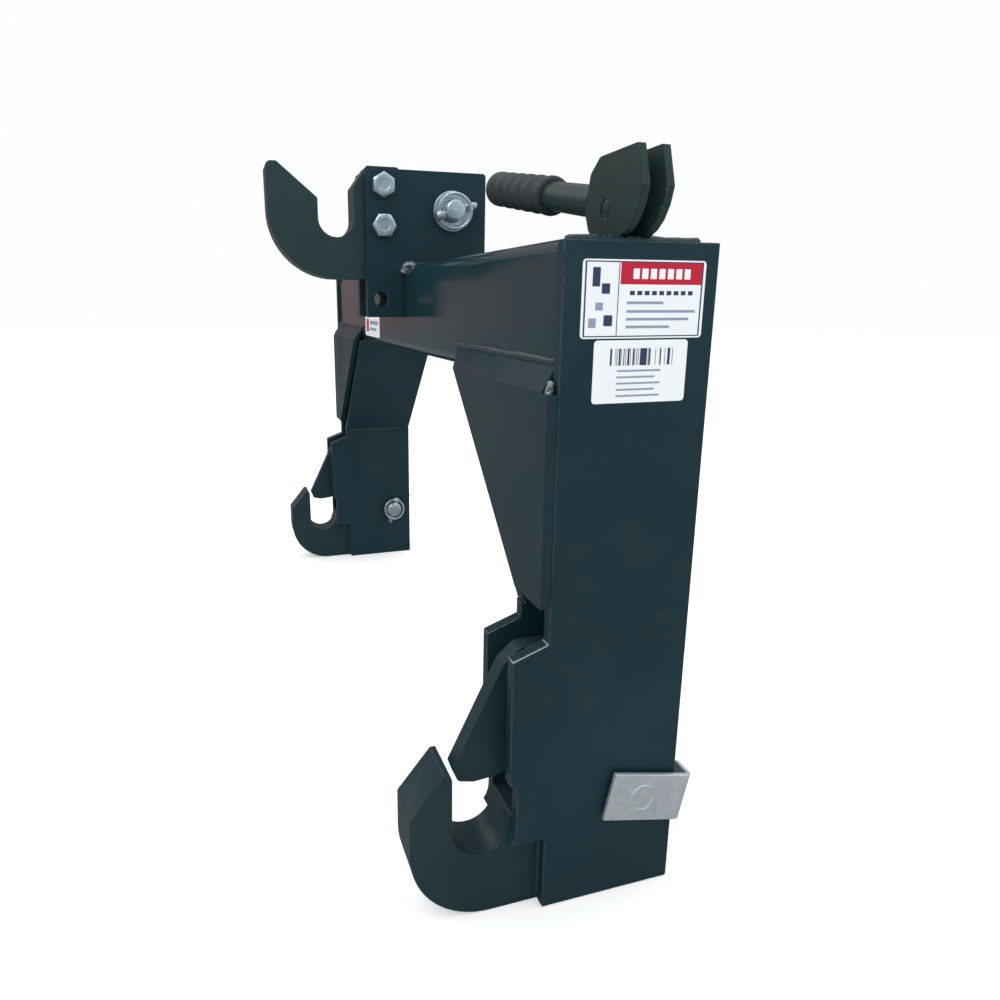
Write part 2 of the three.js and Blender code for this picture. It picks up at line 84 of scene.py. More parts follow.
MM = 0.001
ON_AXIS = 1e-9                     # a radius in metres that closes an end
SAME_POINT = 2e-6                  # metres within which two corners of a CAD mesh are one
FLAT_ANGLE = math.radians(0.6)     # triangles that meet flatter than this are one face
LEG_DEPTH = 92 * MM                # from a leg's back edge to its front edge above the jaw
Array = np.ndarray


class Side(Enum):
    """Which leg a piece belongs to; the value is the sign of its X."""

    RIGHT = 1
    LEFT = -1

    @property
    def label(self) -> str:
        """The word that ends the leg's node names."""
        return self.name.lower()


class Wear(Enum):
    """How much bare metal shows along a coated edge."""

    FRESH = 0.0
    HANDLED = 0.12
    RUBBED = 0.8


# ---------------------------------------------------------------- shader parts


def new_group(name: str, inputs: Sequence[tuple], outputs: Sequence[tuple]) -> tuple:
    """Starts a shader node group.

    Args:
        name: The group's name.
        inputs: (socket name, socket type, default) for each input.
        outputs: (socket name, socket type) for each output.
    Returns:
        The group, its input node and its output node.
    """
    group = bpy.data.node_groups.new(name, "ShaderNodeTree")
    for label, kind, default in inputs:
        socket = group.interface.new_socket(label, in_out="INPUT", socket_type=kind)
        if default is not None:
            socket.default_value = default
    for label, kind in outputs:
        group.interface.new_socket(label, in_out="OUTPUT", socket_type=kind)
    return group, group.nodes.new("NodeGroupInput"), group.nodes.new("NodeGroupOutput")


class Wiring:
    """Short ways to place and join nodes in one tree."""

    def __init__(self, tree: NodeTree) -> None:
        """Keeps the tree that the nodes go into."""
        self.tree = tree

    def node(self, kind: str, **settings: object) -> Node:
        """Adds a node and sets its properties."""
        made = self.tree.nodes.new(kind)
        for key, value in settings.items():
            setattr(made, key, value)
        return made

    def link(self, source: NodeSocket, target: NodeSocket) -> None:
        """Joins two sockets."""
        self.tree.links.new(source, target)

    def feed(self, socket: NodeSocket, value: object) -> None:
        """Links a socket, or sets its value when it is given a plain one."""
        if isinstance(value, NodeSocket):
            self.link(value, socket)
        else:
            socket.default_value = value

    def math(self, operation: str, a: object, b: object = 0.0, clamp: bool = False) -> NodeSocket:
        """One Math node; a and b are sockets or numbers."""
        made = self.node("ShaderNodeMath", operation=operation, use_clamp=clamp)
        self.feed(made.inputs[0], a)
        self.feed(made.inputs[1], b)
        return made.outputs[0]

    def ramp(self, value: object, low: float, high: float, out_low: float = 0.0,
             out_high: float = 1.0) -> NodeSocket:
        """Maps value from low..high to out_low..out_high smoothly, and holds it there outside."""
        made = self.node("ShaderNodeMapRange", interpolation_type="SMOOTHSTEP")
        for socket, number in zip(made.inputs, (value, low, high, out_low, out_high)):
            self.feed(socket, number)
        return made.outputs[0]

    def mix(self, factor: object, a: object, b: object) -> NodeSocket:
        """Mixes two colours."""
        made = self.node("ShaderNodeMix", data_type="RGBA")
        self.feed(made.inputs[0], factor)
        self.feed(made.inputs[6], a)
        self.feed(made.inputs[7], b)
        return made.outputs[2]

    def noise(self, vector: object, scale: float, detail: float = 3.0, roughness: float = 0.55) -> NodeSocket:
        """Fractal noise from 0 to 1 at scale cells a metre."""
        made = self.node("ShaderNodeTexNoise", noise_dimensions="3D")
        settings = {"Vector": vector, "Scale": scale, "Detail": detail, "Roughness": roughness}
        for key, value in settings.items():
            self.feed(made.inputs[key], value)
        return made.outputs["Fac"]

    def stretched(self, vector: object, scale: tuple, turn: tuple = (0, 0, 0)) -> NodeSocket:
        """Turns and stretches coordinates before a pattern reads them."""
        made = self.node("ShaderNodeMapping")
        for key, value in {"Vector": vector, "Rotation": turn, "Scale": scale}.items():
            self.feed(made.inputs[key], value)
        return made.outputs[0]


@dataclass(frozen=True)
class ShaderParts:
    """The effects that several finishes share, as node groups."""

    peel: NodeTree
    dust: NodeTree
    scuffs: NodeTree

    @staticmethod
    def build() -> "ShaderParts":
        """Makes the groups once."""
        return ShaderParts(ShaderParts._peel(), ShaderParts._dust(), ShaderParts._scuffs())

    @staticmethod
    def _peel() -> NodeTree:
        """Orange peel: two sizes of soft ripple, as a height, with a slow drift of gloss beside it."""
        group, start, end = new_group(
            "orange_peel",
            [("Vector", "NodeSocketVector", None), ("Fine", "NodeSocketFloat", 0.35)],
            [("Height", "NodeSocketFloat"), ("Gloss Drift", "NodeSocketFloat")])
        w = Wiring(group)
        broad = w.noise(start.outputs["Vector"], 260.0, 2.0)
        fine = w.noise(start.outputs["Vector"], 900.0, 3.0, 0.6)
        height = w.math("ADD", broad, w.math("MULTIPLY", fine, start.outputs["Fine"]))
        w.link(height, end.inputs["Height"])
        w.link(w.ramp(w.noise(start.outputs["Vector"], 14.0, 4.0), 0.35, 0.68), end.inputs["Gloss Drift"])
        return group

    @staticmethod
    def _dust() -> NodeTree:
        """Dust: a patchy mask that is strongest where the surface faces up."""
        group, start, end = new_group(
            "dust",
            [("Vector", "NodeSocketVector", None), ("Amount", "NodeSocketFloat", 0.3)],
            [("Mask", "NodeSocketFloat")])
        w = Wiring(group)
        up = w.node("ShaderNodeSeparateXYZ")
        w.link(w.node("ShaderNodeNewGeometry").outputs["Normal"], up.inputs[0])
        level = w.ramp(up.outputs["Z"], 0.2, 0.95, 0.12, 1.0)
        patch = w.ramp(w.noise(start.outputs["Vector"], 34.0, 6.0, 0.66), 0.42, 0.75)
        speck = w.ramp(w.noise(start.outputs["Vector"], 1500.0, 2.0), 0.62, 0.74, 0.0, 0.8)
        mask = w.math("MULTIPLY", w.math("MAXIMUM", patch, speck), level)
        w.link(w.math("MULTIPLY", mask, start.outputs["Amount"], clamp=True), end.inputs["Mask"])
        return group

    @staticmethod
    def _scuffs() -> NodeTree:
        """Scuffs: thin broken streaks along two directions, as a mask."""
        group, start, end = new_group(
            "scuffs",
            [("Vector", "NodeSocketVector", None), ("Amount", "NodeSocketFloat", 0.5)],
            [("Mask", "NodeSocketFloat")])
        w = Wiring(group)
        streaks = []
        for turn, scale in (((0.3, 0.9, 0.4), (700, 14, 500)), ((1.2, 0.2, 1.9), (16, 620, 560))):
            vector = w.stretched(start.outputs["Vector"], scale, turn)
            streaks.append(w.ramp(w.noise(vector, 1.0, 2.0), 0.69, 0.75))
        where = w.ramp(w.noise(start.outputs["Vector"], 11.0, 3.0), 0.5, 0.66)
        mask = w.math("MULTIPLY", w.math("MAXIMUM", *streaks), where)
        w.link(w.math("MULTIPLY", mask, start.outputs["Amount"], clamp=True), end.inputs["Mask"])
        return group


class Canvas(Wiring):
    """One material in the making, with its Principled BSDF and Object coordinates."""

    def __init__(self, name: str) -> None:
        """Starts a material of that name."""
        self.material = bpy.data.materials.new(name)
        self.material.use_nodes = True
        super().__init__(self.material.node_tree)
        self.shader = self.tree.nodes["Principled BSDF"]
        self.coords = self.node("ShaderNodeTexCoord").outputs["Object"]

    def group(self, tree: NodeTree, **inputs: object) -> Node:
        """Places a shared effect that reads the object's own coordinates."""
        made = self.node("ShaderNodeGroup", node_tree=tree)
        self.link(self.coords, made.inputs["Vector"])
        for key, value in inputs.items():
            self.feed(made.inputs[key], value)
        return made

    def set(self, **values: object) -> None:
        """Feeds or sets the shader's sockets; an underscore stands for a space."""
        for key, value in values.items():
            self.feed(self.shader.inputs[key.replace("_", " ")], value)

    def bump(self, height: NodeSocket, strength: float, distance: float) -> None:
        """Turns a height into the shader's Normal."""
        made = self.node("ShaderNodeBump")
        made.inputs["Strength"].default_value = strength
        made.inputs["Distance"].default_value = distance
        self.link(height, made.inputs["Height"])
        self.link(made.outputs["Normal"], self.shader.inputs["Normal"])


# ---------------------------------------------------------------- finishes


SCUFFED_COAT = (0.045, 0.058, 0.062, 1)
BARE_STEEL = (0.36, 0.38, 0.39, 1)
DUST_ON_COAT = (0.2, 0.205, 0.2, 1)
DUST_ON_RUBBER = (0.12, 0.125, 0.125, 1)
RUBBED_ZINC = (0.86, 0.88, 0.9, 1)
OIL_STAIN = (0.1, 0.095, 0.085, 1)
NO_BAND = (0.0, 0.0)


def shaded(colour: tuple, share: float) -> tuple:
    """The same hue, lighter or darker, with full alpha."""
    return tuple(v * share for v in colour[:3]) + (1.0,)


@dataclass(frozen=True)
class PowderCoat:
    """Black powder coat with a blue-green cast, orange peel, dust and scuffs."""

    name: str
    colour: tuple = (0.0078, 0.027, 0.036, 1.0)
    worn: Wear = Wear.FRESH
    roughness: float = 0.33
    dust: float = 0.1
    scuff: float = 0.3
    specular: float = 0.2
    peel: float = 0.16
    band: tuple = NO_BAND

    def _near(self, c: Canvas) -> NodeSocket:
        """One where the edge faces up inside the band of heights, and a trace elsewhere: rubbed wear, with a
        painted highlight on the upward edges where light falls.
        """
        place, facing = c.node("ShaderNodeSeparateXYZ"), c.node("ShaderNodeSeparateXYZ")
        c.link(c.coords, place.inputs[0])
        c.link(c.node("ShaderNodeNewGeometry").outputs["Normal"], facing.inputs[0])
        low, high = self.band
        above = c.ramp(place.outputs["Z"], low - 6 * MM, low + 3 * MM)
        below = c.ramp(place.outputs["Z"], high - 3 * MM, high + 6 * MM, 1.0, 0.0)
        # Kept to upward-facing edges: part rubbed wear, part painted highlight along the lit top edge.
        level = c.math("MULTIPLY", above, c.ramp(facing.outputs["Z"], 0.2, 0.5))
        return c.math("MAXIMUM", c.math("MULTIPLY", level, below), 0.06)

    def build(self, parts: ShaderParts) -> Material:
        """Makes the material; edges with wear show bright steel in broken patches."""
        c = Canvas(self.name)
        peel = c.group(parts.peel)
        dust = c.group(parts.dust, Amount=self.dust)
        scuffs = c.group(parts.scuffs, Amount=self.scuff)
        drift = c.ramp(c.noise(c.coords, 7.0, 3.0), 0.3, 0.7)
        base = c.mix(drift, self.colour, shaded(self.colour, 1.2))
        base = c.mix(scuffs.outputs["Mask"], base, SCUFFED_COAT)
        rough = c.math("ADD", self.roughness, c.math("MULTIPLY", peel.outputs["Gloss Drift"], 0.1))
        rough = c.math("ADD", rough, c.math("MULTIPLY", dust.outputs["Mask"], 0.45), clamp=True)
        metal: object = 0.0
        if self.worn is not Wear.FRESH:
            low = 0.62 - 0.28 * self.worn.value
            chip = c.ramp(c.noise(c.coords, 210.0, 6.0, 0.7), low, low + 0.09)
            if self.band != NO_BAND:
                chip = c.math("MULTIPLY", chip, self._near(c))
            base = c.mix(chip, base, BARE_STEEL)
            rough = c.math("ADD", rough, c.math("MULTIPLY", chip, 0.08))
            metal = c.math("MULTIPLY", chip, 0.85)
        base = c.mix(dust.outputs["Mask"], base, DUST_ON_COAT)
        c.set(Base_Color=base, Roughness=rough, Metallic=metal, Specular_IOR_Level=self.specular)
        c.bump(peel.outputs["Height"], self.peel, 0.2 * MM)
        return c.material


@dataclass(frozen=True)
class ZincPlate:
    """Bright zinc over steel: pale blue-grey with cloudy spangle and fine rubbing."""

    name: str
    colour: tuple = (0.76, 0.82, 0.87, 1.0)
    shade: tuple = (0.42, 0.48, 0.53, 1.0)
    roughness: float = 0.27
    metallic: float = 0.92

    def build(self, parts: ShaderParts) -> Material:
        """Makes the material from two cloud sizes, cells for the spangle, and scuffs."""
        c = Canvas(self.name)
        cloud = c.ramp(c.noise(c.coords, 90.0, 5.0, 0.62), 0.32, 0.7)
        cells = c.node("ShaderNodeTexVoronoi", feature="F1")
        c.link(c.coords, cells.inputs["Vector"])
        cells.inputs["Scale"].default_value = 420.0
        spangle = c.math("MULTIPLY", cells.outputs["Distance"], 0.5)
        tone = c.math("ADD", c.math("MULTIPLY", cloud, 0.7), spangle, clamp=True)
        base = c.mix(tone, self.colour, self.shade)
        scuffs = c.group(parts.scuffs, Amount=0.8)
        base = c.mix(scuffs.outputs["Mask"], base, RUBBED_ZINC)
        rough = c.math("ADD", self.roughness, c.math("MULTIPLY", cloud, 0.2))
        c.set(Base_Color=base, Roughness=rough, Metallic=self.metallic)
        c.bump(c.math("ADD", cloud, c.noise(c.coords, 800.0, 3.0)), 0.18, 0.25 * MM)
        return c.material


@dataclass(frozen=True)
class OiledSteel:
    """Plain turned or drawn steel, darkened with oil, with fine lines along one direction."""

    name: str
    along: tuple = (900, 900, 30)
    colour: tuple = (0.23, 0.235, 0.24, 1.0)

    def build(self, parts: ShaderParts) -> Material:
        """Makes the material; the lines are noise drawn out along the piece."""
        c = Canvas(self.name)
        lines = c.noise(c.stretched(c.coords, self.along), 1.0, 3.0)
        stain = c.ramp(c.noise(c.coords, 60.0, 5.0), 0.4, 0.7)
        base = c.mix(stain, self.colour, OIL_STAIN)
        rough = c.math("ADD", 0.3, c.math("MULTIPLY", stain, 0.22))
        c.set(Base_Color=base, Roughness=rough, Metallic=1.0)
        c.bump(lines, 0.25, 0.15 * MM)
        return c.material


@dataclass(frozen=True)
class MouldedRubber:
    """Matte black rubber with a fine moulded grain and patches of grey bloom."""

    name: str
    colour: tuple = (0.02, 0.028, 0.034, 1.0)
    bloomed: tuple = (0.03, 0.036, 0.04, 1.0)

    def build(self, parts: ShaderParts) -> Material:
        """Makes the material from two noises: a broad bloom and a fine grain."""
        c = Canvas(self.name)
        bloom = c.ramp(c.noise(c.coords, 45.0, 5.0), 0.35, 0.75)
        dust = c.group(parts.dust, Amount=0.3)
        base = c.mix(bloom, self.colour, self.bloomed)
        base = c.mix(dust.outputs["Mask"], base, DUST_ON_RUBBER)
        rough = c.math("ADD", 0.55, c.math("MULTIPLY", bloom, 0.2))
        c.set(Base_Color=base, Roughness=rough, Specular_IOR_Level=0.4)
        c.bump(c.noise(c.coords, 1900.0, 3.0, 0.7), 0.35, 0.3 * MM)
        return c.material


@dataclass(frozen=True)
class PrintedFilm:
    """One ink or the bare film of a vinyl label."""

    name: str
    colour: tuple

    def build(self, parts: ShaderParts) -> Material:
        """Makes the material: an even ink with faint soiling and a soft sheen."""
        c = Canvas(self.name)
        soil = c.ramp(c.noise(c.coords, 30.0, 5.0), 0.5, 0.8, 0.0, 0.16)
        base = c.mix(soil, self.colour, shaded(self.colour, 0.6))
        c.set(Base_Color=base, Roughness=c.math("ADD", 0.3, soil), Specular_IOR_Level=0.4)
        c.bump(c.noise(c.coords, 500.0, 2.0), 0.06, 0.1 * MM)
        return c.material


@dataclass(frozen=True)
class StudioPaint:
    """The pale floor."""

    name: str
    colour: tuple = (0.8, 0.82, 0.82, 1.0)
    in_gloss: tuple = (0.23, 0.21, 0.21, 1.0)
    lift: float = 0.36

    def build(self, parts: ShaderParts) -> Material:
        """Makes an even matte paint, lifted towards white for the camera and dimmed for reflections."""
        c = Canvas(self.name)
        drift = c.ramp(c.noise(c.coords, 2.0, 2.0), 0.3, 0.7, 0.0, 1.0)
        path = c.node("ShaderNodeLightPath").outputs
        base = c.mix(drift, self.colour, shaded(self.colour, 0.985))
        seen = c.mix(path["Is Camera Ray"], (0, 0, 0, 1), (1, 1, 1, 1))
        base = c.mix(path["Is Glossy Ray"], base, self.in_gloss)
        c.set(Base_Color=base, Roughness=0.8, Specular_IOR_Level=0.1)
        c.set(Emission_Color=seen, Emission_Strength=self.lift)
        return c.material


class Finishes:
    """Every finish on the hitch, built once."""

    def __init__(self, parts: ShaderParts) -> None:
        """Builds each material from its settings; an attribute is named for where the finish goes."""
        settings = {
            "coat": PowderCoat("black_powder_coat"),
            "coat_bar": PowderCoat("crossbar_coat", colour=(0.0066, 0.0255, 0.031, 1), roughness=0.1,
                                   dust=0.03, scuff=0.08, specular=0.35, peel=0.05),
            "coat_edge": PowderCoat("coat_on_edges", worn=Wear.HANDLED, roughness=0.36, dust=0.15),
            # Lighter olive tint on the lever's coat: a painted reflection of the brown-olive surround.
            "coat_ear": PowderCoat("lever_ear_coat", colour=(0.015, 0.034, 0.032, 1), roughness=0.3),
            "coat_rub": PowderCoat("coat_rubbed_through", worn=Wear.RUBBED, roughness=0.36),
            # Bright steel on the jaw's upward edges: rubbed wear and a painted highlight along the lit top
            # edge.
            "coat_jaw": PowderCoat("coat_on_jaw_edges", worn=Wear.RUBBED, roughness=0.36,
                                   band=(168 * MM, 186 * MM)),
            "coat_weld": PowderCoat("coat_over_weld", roughness=0.26, dust=0.15, scuff=0.1, specular=0.6),
            "hook": PowderCoat("hook_coat", colour=(0.011, 0.029, 0.036, 1), dust=0.12, scuff=0.4),
            "hook_top": PowderCoat("upper_hook_coat", colour=(0.018, 0.04, 0.043, 1), roughness=0.36,
                                   scuff=0.4),
            "zinc": ZincPlate("bright_zinc"),
            "zinc_flag": ZincPlate("sheet_zinc", colour=(0.84, 0.9, 0.94, 1), shade=(0.62, 0.69, 0.74, 1),
                                   roughness=0.38, metallic=0.8),
            "steel": OiledSteel("oiled_rod_steel"),
            "pin_steel": OiledSteel("turned_pin_steel", along=(40, 1200, 1200)),
            "rubber": MouldedRubber("ribbed_rubber"),
            "film_white": PrintedFilm("label_white", (0.8, 0.83, 0.85, 1)),
            "film_red": PrintedFilm("label_red", (0.5, 0.004, 0.028, 1)),
            "film_ink": PrintedFilm("label_ink", (0.03, 0.04, 0.11, 1)),
            "film_grey": PrintedFilm("label_grey", (0.26, 0.3, 0.4, 1)),
            "floor": StudioPaint("studio_floor"),
        }
        for name, finish in settings.items():
            setattr(self, name, finish.build(parts))


# ---------------------------------------------------------------- surfaces


def mesh_object(name: str, points: Array, faces: Array, materials: Sequence[Material],
                slots: Optional[Sequence[int]] = None, smooth: bool = True) -> Object:
    """Puts whole arrays of points and faces into a mesh object.

    Args:
        name: The piece's name.
        points: n x 3 positions in metres.
        faces: m x 3 or m x 4 corner numbers, or a list of rows of mixed length.
        materials: The piece's material slots.
        slots: The slot number of each face.
        smooth: Whether the faces are shaded smooth.
    Returns:
        The linked object.
    """
    mesh = bpy.data.meshes.new(name)
    mesh.from_pydata(np.asarray(points, float).tolist(), [], [list(map(int, f)) for f in faces])
    for material in materials:
        mesh.materials.append(material)
    if slots is not None:
        mesh.polygons.foreach_set("material_index", np.asarray(slots, np.int32))
    mesh.polygons.foreach_set("use_smooth", np.full(len(mesh.polygons), smooth))
    mesh.update()
    made = bpy.data.objects.new(name, mesh)
    bpy.context.scene.collection.objects.link(made)
    return made


def grid_faces(rows: int, columns: int, wrap_rows: bool = False) -> Array:
    """Quads over rings of points: each ring joins itself, and the last row the first when wrapped."""
    a, b = np.meshgrid(np.arange(rows if wrap_rows else rows - 1), np.arange(columns), indexing="ij")
    a2, b2 = (a + 1) % rows, (b + 1) % columns
    quads = np.stack([a * columns + b, a * columns + b2, a2 * columns + b2, a2 * columns + b], axis=-1)
    return quads.reshape(-1, 4)


def outward(made: Object, doubles: float = 1e-7) -> Object:
    """Merges doubled points and turns the faces of a closed piece outwards."""
    work = bmesh.new()
    work.from_mesh(made.data)
    bmesh.ops.remove_doubles(work, verts=work.verts, dist=doubles)
    bmesh.ops.recalc_face_normals(work, faces=work.faces)
    work.to_mesh(made.data)
    work.free()
    return made


@dataclass
class Axis:
    """A straight line that round pieces are turned about: an origin and two unit vectors."""

    origin: Array
    along: Array
    across: Array

    def place(self, distance: Array, u: Array, v: Array) -> Array:
        """Points at a distance along the line and u, v across it."""
        third = np.cross(self.along, self.across)
        return (self.origin + distance[..., None] * self.along + u[..., None] * self.across
                + v[..., None] * third)


def line(origin: Sequence[float], along: Sequence[float], across: Sequence[float]) -> Axis:
    """An Axis from plain numbers; across is squared up to along."""
    a = np.asarray(along, float)
    a = a / np.linalg.norm(a)
    b = np.asarray(across, float)
    b = b - a * np.dot(a, b)
    return Axis(np.asarray(origin, float), a, b / np.linalg.norm(b))


def run(start: float, way: int, *pairs: tuple) -> list:
    """Stations from pairs of millimetres: a distance from start, on or back along the axis, and a radius."""
    return [(start + way * distance * MM, radius * MM) for distance, radius in pairs]


def turned(name: str, axis: Axis, stations: Sequence[tuple], material: Material, around: int = 64,
           shape: Optional[Callable[[Array, Array], Array]] = None, sharp: float = 35.0,
           bored: bool = False) -> Object:
    """A turned piece.

    A point at station s and angle a lies at distance x(s) along the axis, and radius r(s) from it,
    or at shape(r, a) where the section isn't round. Both ends close on the axis; in a bored piece
    the last station joins the first instead.

    Args:
        name: The piece's name.
        axis: The line it is turned about.
        stations: (distance, radius) pairs from one end to the other, in metres.
        material: Its finish.
        around: Points round the axis.
        shape: Changes the radius with the angle.
        sharp: Edges steeper than this many degrees stay sharp.
        bored: Whether the stations go round a bore.
    Returns:
        The piece.
    """
    if not bored:
        stations = [(stations[0][0], ON_AXIS), *stations, (stations[-1][0], ON_AXIS)]
    table = np.array(stations, float)
    angle = np.linspace(0, 2 * math.pi, around, endpoint=False)
    radius = np.broadcast_to(table[:, 1:2], (len(table), around))
    if shape is not None:
        radius = shape(radius, angle[None, :])
    distance = np.broadcast_to(table[:, 0:1], (len(table), around))
    points = axis.place(distance, radius * np.cos(angle), radius * np.sin(angle)).reshape(-1, 3)
    made = mesh_object(name, points, grid_faces(len(table), around, wrap_rows=bored), [material])
    return keep_sharp(outward(made, 1e-6), sharp)


def keep_sharp(made: Object, degrees: float) -> Object:
    """Marks edges steeper than an angle as sharp and shades the rest smooth."""
    work = bmesh.new()
    work.from_mesh(made.data)
    limit = math.radians(degrees)
    for edge in work.edges:
        edge.smooth = not (len(edge.link_faces) == 2 and edge.calc_face_angle(0.0) > limit)
    for face in work.faces:
        face.smooth = True
    work.to_mesh(made.data)
    work.free()
    return made


def swept(name: str, path: Array, radius: Array, material: Material, around: int = 14,
          closed: bool = False, squash: float = 1.0) -> Object:
    """A tube along a path.

    A point at path step s and angle a lies at path(s) + radius(s, a) * (cos a * N + sin a * B), where N
    and B are carried along the path with the least twist. An open tube closes at both ends on its path.

    Args:
        name: The piece's name.
        path: n x 3 points in metres.
        radius: n radii, or n x around radii.
        material: Its finish.
        around: Points round the tube.
        closed: Whether the path joins its own start.
        squash: Flattens the tube along B.
    Returns:
        The piece.
    """
    step = (np.roll(path, -1, axis=0) - np.roll(path, 1, axis=0)) if closed else np.gradient(path, axis=0)
    tangent = step / np.linalg.norm(step, axis=1, keepdims=True)
    seed = np.eye(3)[np.argmin(np.abs(tangent[0]))]
    normals = np.empty_like(path)
    normal = seed - tangent[0] * np.dot(seed, tangent[0])
    for i, t in enumerate(tangent):
        normal = normal - t * np.dot(normal, t)
        normal = normal / np.linalg.norm(normal)
        normals[i] = normal
    binormals = np.cross(tangent, normals)
    angle = np.linspace(0, 2 * math.pi, around, endpoint=False)
    r = np.asarray(radius, float)
    r = np.broadcast_to(r[:, None], (len(path), around)) if r.ndim == 1 else r
    rings = (path[:, None, :] + (r * np.cos(angle))[..., None] * normals[:, None, :]
             + (r * np.sin(angle) * squash)[..., None] * binormals[:, None, :])
    faces = grid_faces(len(path), around, wrap_rows=closed)
    points = rings.reshape(-1, 3)
    if not closed:
        ends = np.array([path[0], path[-1]])
        first = len(points)
        k = np.arange(around)
        start = np.stack([np.full(around, first), (k + 1) % around, k], axis=1)
        last = (len(path) - 1) * around
        finish = np.stack([np.full(around, first + 1), last + k, last + (k + 1) % around], axis=1)
        points = np.vstack([points, ends])
        faces = [*faces.tolist(), *start.tolist(), *finish.tolist()]
    return keep_sharp(outward(mesh_object(name, points, faces, [material])), 50.0)


def resample(corners: Sequence[Sequence[float]], pitch: float) -> Array:
    """Points along a polyline, evenly spaced at about the pitch, in metres."""
    corners = np.asarray(corners, float)
    lengths = np.r_[0, np.cumsum(np.linalg.norm(np.diff(corners, axis=0), axis=1))]
    count = max(4, int(lengths[-1] / pitch) + 1)
    at = np.linspace(0, lengths[-1], count)
    return np.stack([np.interp(at, lengths, corners[:, k]) for k in range(3)], axis=1)


class WeldBead:
    """A run of weld: a tube half sunk in the joint, with one ripple for each pool of metal."""

    def __init__(self, seed: int) -> None:
        """Seeds the bead's unevenness, so that it is the same each time."""
        self.rng = np.random.default_rng(seed)

    def lay(self, name: str, corners: Sequence[Sequence[float]], size: float, material: Material,
            pitch: float) -> Object:
        """Lays a bead.

        The radius is size * (0.86 + 0.14 * |sin(pi s / pitch)| + slow unevenness), drawn in to nothing
        over the first and last three millimetres; the path wavers by a tenth of the size.

        Args:
            name: The piece's name.
            corners: The joint's line, in metres.
            size: The bead's radius.
            material: Its finish.
            pitch: The length of one ripple in metres.
        Returns:
            The piece.
        """
        path = resample(corners, 0.6 * MM)
        s = np.r_[0, np.cumsum(np.linalg.norm(np.diff(path, axis=0), axis=1))]
        ripple = 0.86 + 0.14 * np.abs(np.sin(math.pi * s / pitch)) + self._wander(s, 12, 0.12)
        ends = np.clip(np.minimum(s, s[-1] - s) / (3 * MM), 0, 1)
        waver = np.stack([self._wander(s, 14, 1.0) for _ in range(3)], axis=1) * size * 0.1
        return swept(name, path + waver, size * ripple * np.sqrt(1 - (1 - ends) ** 2) + 1e-6, material, 12)

    def _wander(self, s: Array, knots: int, most: float) -> Array:
        """An uneven value along the run: straight between random knots no larger than most."""
        return np.interp(s, np.linspace(0, s[-1], knots), self.rng.uniform(-most, most, knots))


# ---------------------------------------------------------------- the hitch


@dataclass
class Shop:
    """What every sub-assembly is built with: the frame's nodes and joints, and the finishes."""

    nodes: dict
    joints: dict
    bodies: dict
    finish: Finishes
    made: int = 0

    def body_of(self, node: str) -> str:
        """The name of the body that a CAD node rides on."""
        return next(body for body, members in self.bodies.items() if node in members)

    def hang(self, piece: Object, body: str, slot: str, *replaced: str) -> Object:
        """Rides a piece on its body and hides the CAD nodes it stands for."""
        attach(piece, body)
        if replaced:
            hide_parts(*replaced)
        self.made += 1
        log.info("%s rides on %s", piece.name, body)
        return piece

    def weld(self, bead: WeldBead, name: str, corners: Sequence, size: float, worn: bool = False) -> None:
        """Lays one bead on the frame; a worn one has coarser ripples and bright metal showing."""
        finish = self.finish.coat_rub if worn else self.finish.coat_weld
        pitch = 3.0 * MM if worn else 2.1 * MM
        self.hang(bead.lay(name, corners, size, finish, pitch), "frame", "coat")

    def edged_all(self, tag: str, rows: Iterable[tuple]) -> None:
        """Softens several nodes of one leg; a row is what edged takes, its width in millimetres."""
        for node, slot, face, edge, width, segments in rows:
            self.edged(node + tag, slot, face, edge, width * MM, segments)

    def edged(self, node: str, slot: str, face: Material, edge: Optional[Material] = None,
              width: float = 0.7 * MM, segments: int = 2, angle: float = 24.0) -> Object:
        """A CAD plate or bar with its sawn and cast edges softened.

        The node's triangles are merged into whole faces, and each edge steeper than angle gets a
        rounded band of the given width; the band is the second material slot, for wear.

        Args:
            node: The CAD node.
            slot: The record's material slot; not used.
            face: The finish on its faces.
            edge: The finish on its edges, or the same.
            width: The band's width in metres.
            segments: Facets across the band.
            angle: The edge angle in degrees that starts a band.
        Returns:
            The piece, riding on the node's body.
        """
        source = self.nodes[node].data
        co = np.empty(len(source.vertices) * 3, np.float32)
        source.vertices.foreach_get("co", co)
        corners = np.empty(len(source.loops), np.int32)
        source.loops.foreach_get("vertex_index", corners)
        snapped = np.round(co.reshape(-1, 3) / SAME_POINT).astype(np.int64)
        _, first, inverse = np.unique(snapped, axis=0, return_index=True, return_inverse=True)
        triangles = inverse.reshape(-1)[corners].reshape(-1, 3)
        whole = np.all(triangles != np.roll(triangles, 1, axis=1), axis=1)
        points = co.reshape(-1, 3)[first]
        made = mesh_object(node + "_finished", points, triangles[whole], [face, edge or face])
        work = bmesh.new()
        work.from_mesh(made.data)
        bmesh.ops.dissolve_limit(work, angle_limit=FLAT_ANGLE, verts=work.verts, edges=work.edges)
        work.to_mesh(made.data)
        work.free()
        bevel = made.modifiers.new("edge", "BEVEL")
        bevel.width = width
        bevel.segments = segments
        bevel.limit_method = "ANGLE"
        bevel.angle_limit = math.radians(angle)
        bevel.use_clamp_overlap = True
        bevel.miter_outer = "MITER_ARC"
        bevel.material = 1
        weighted = made.modifiers.new("normals", "WEIGHTED_NORMAL")
        weighted.weight = 100
        weighted.keep_sharp = False
        return self.hang(made, self.body_of(node), slot, node)


def middle(node: str) -> Vector:
    """The middle of a CAD node's box."""
    low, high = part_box(node)
    return (low + high) / 2


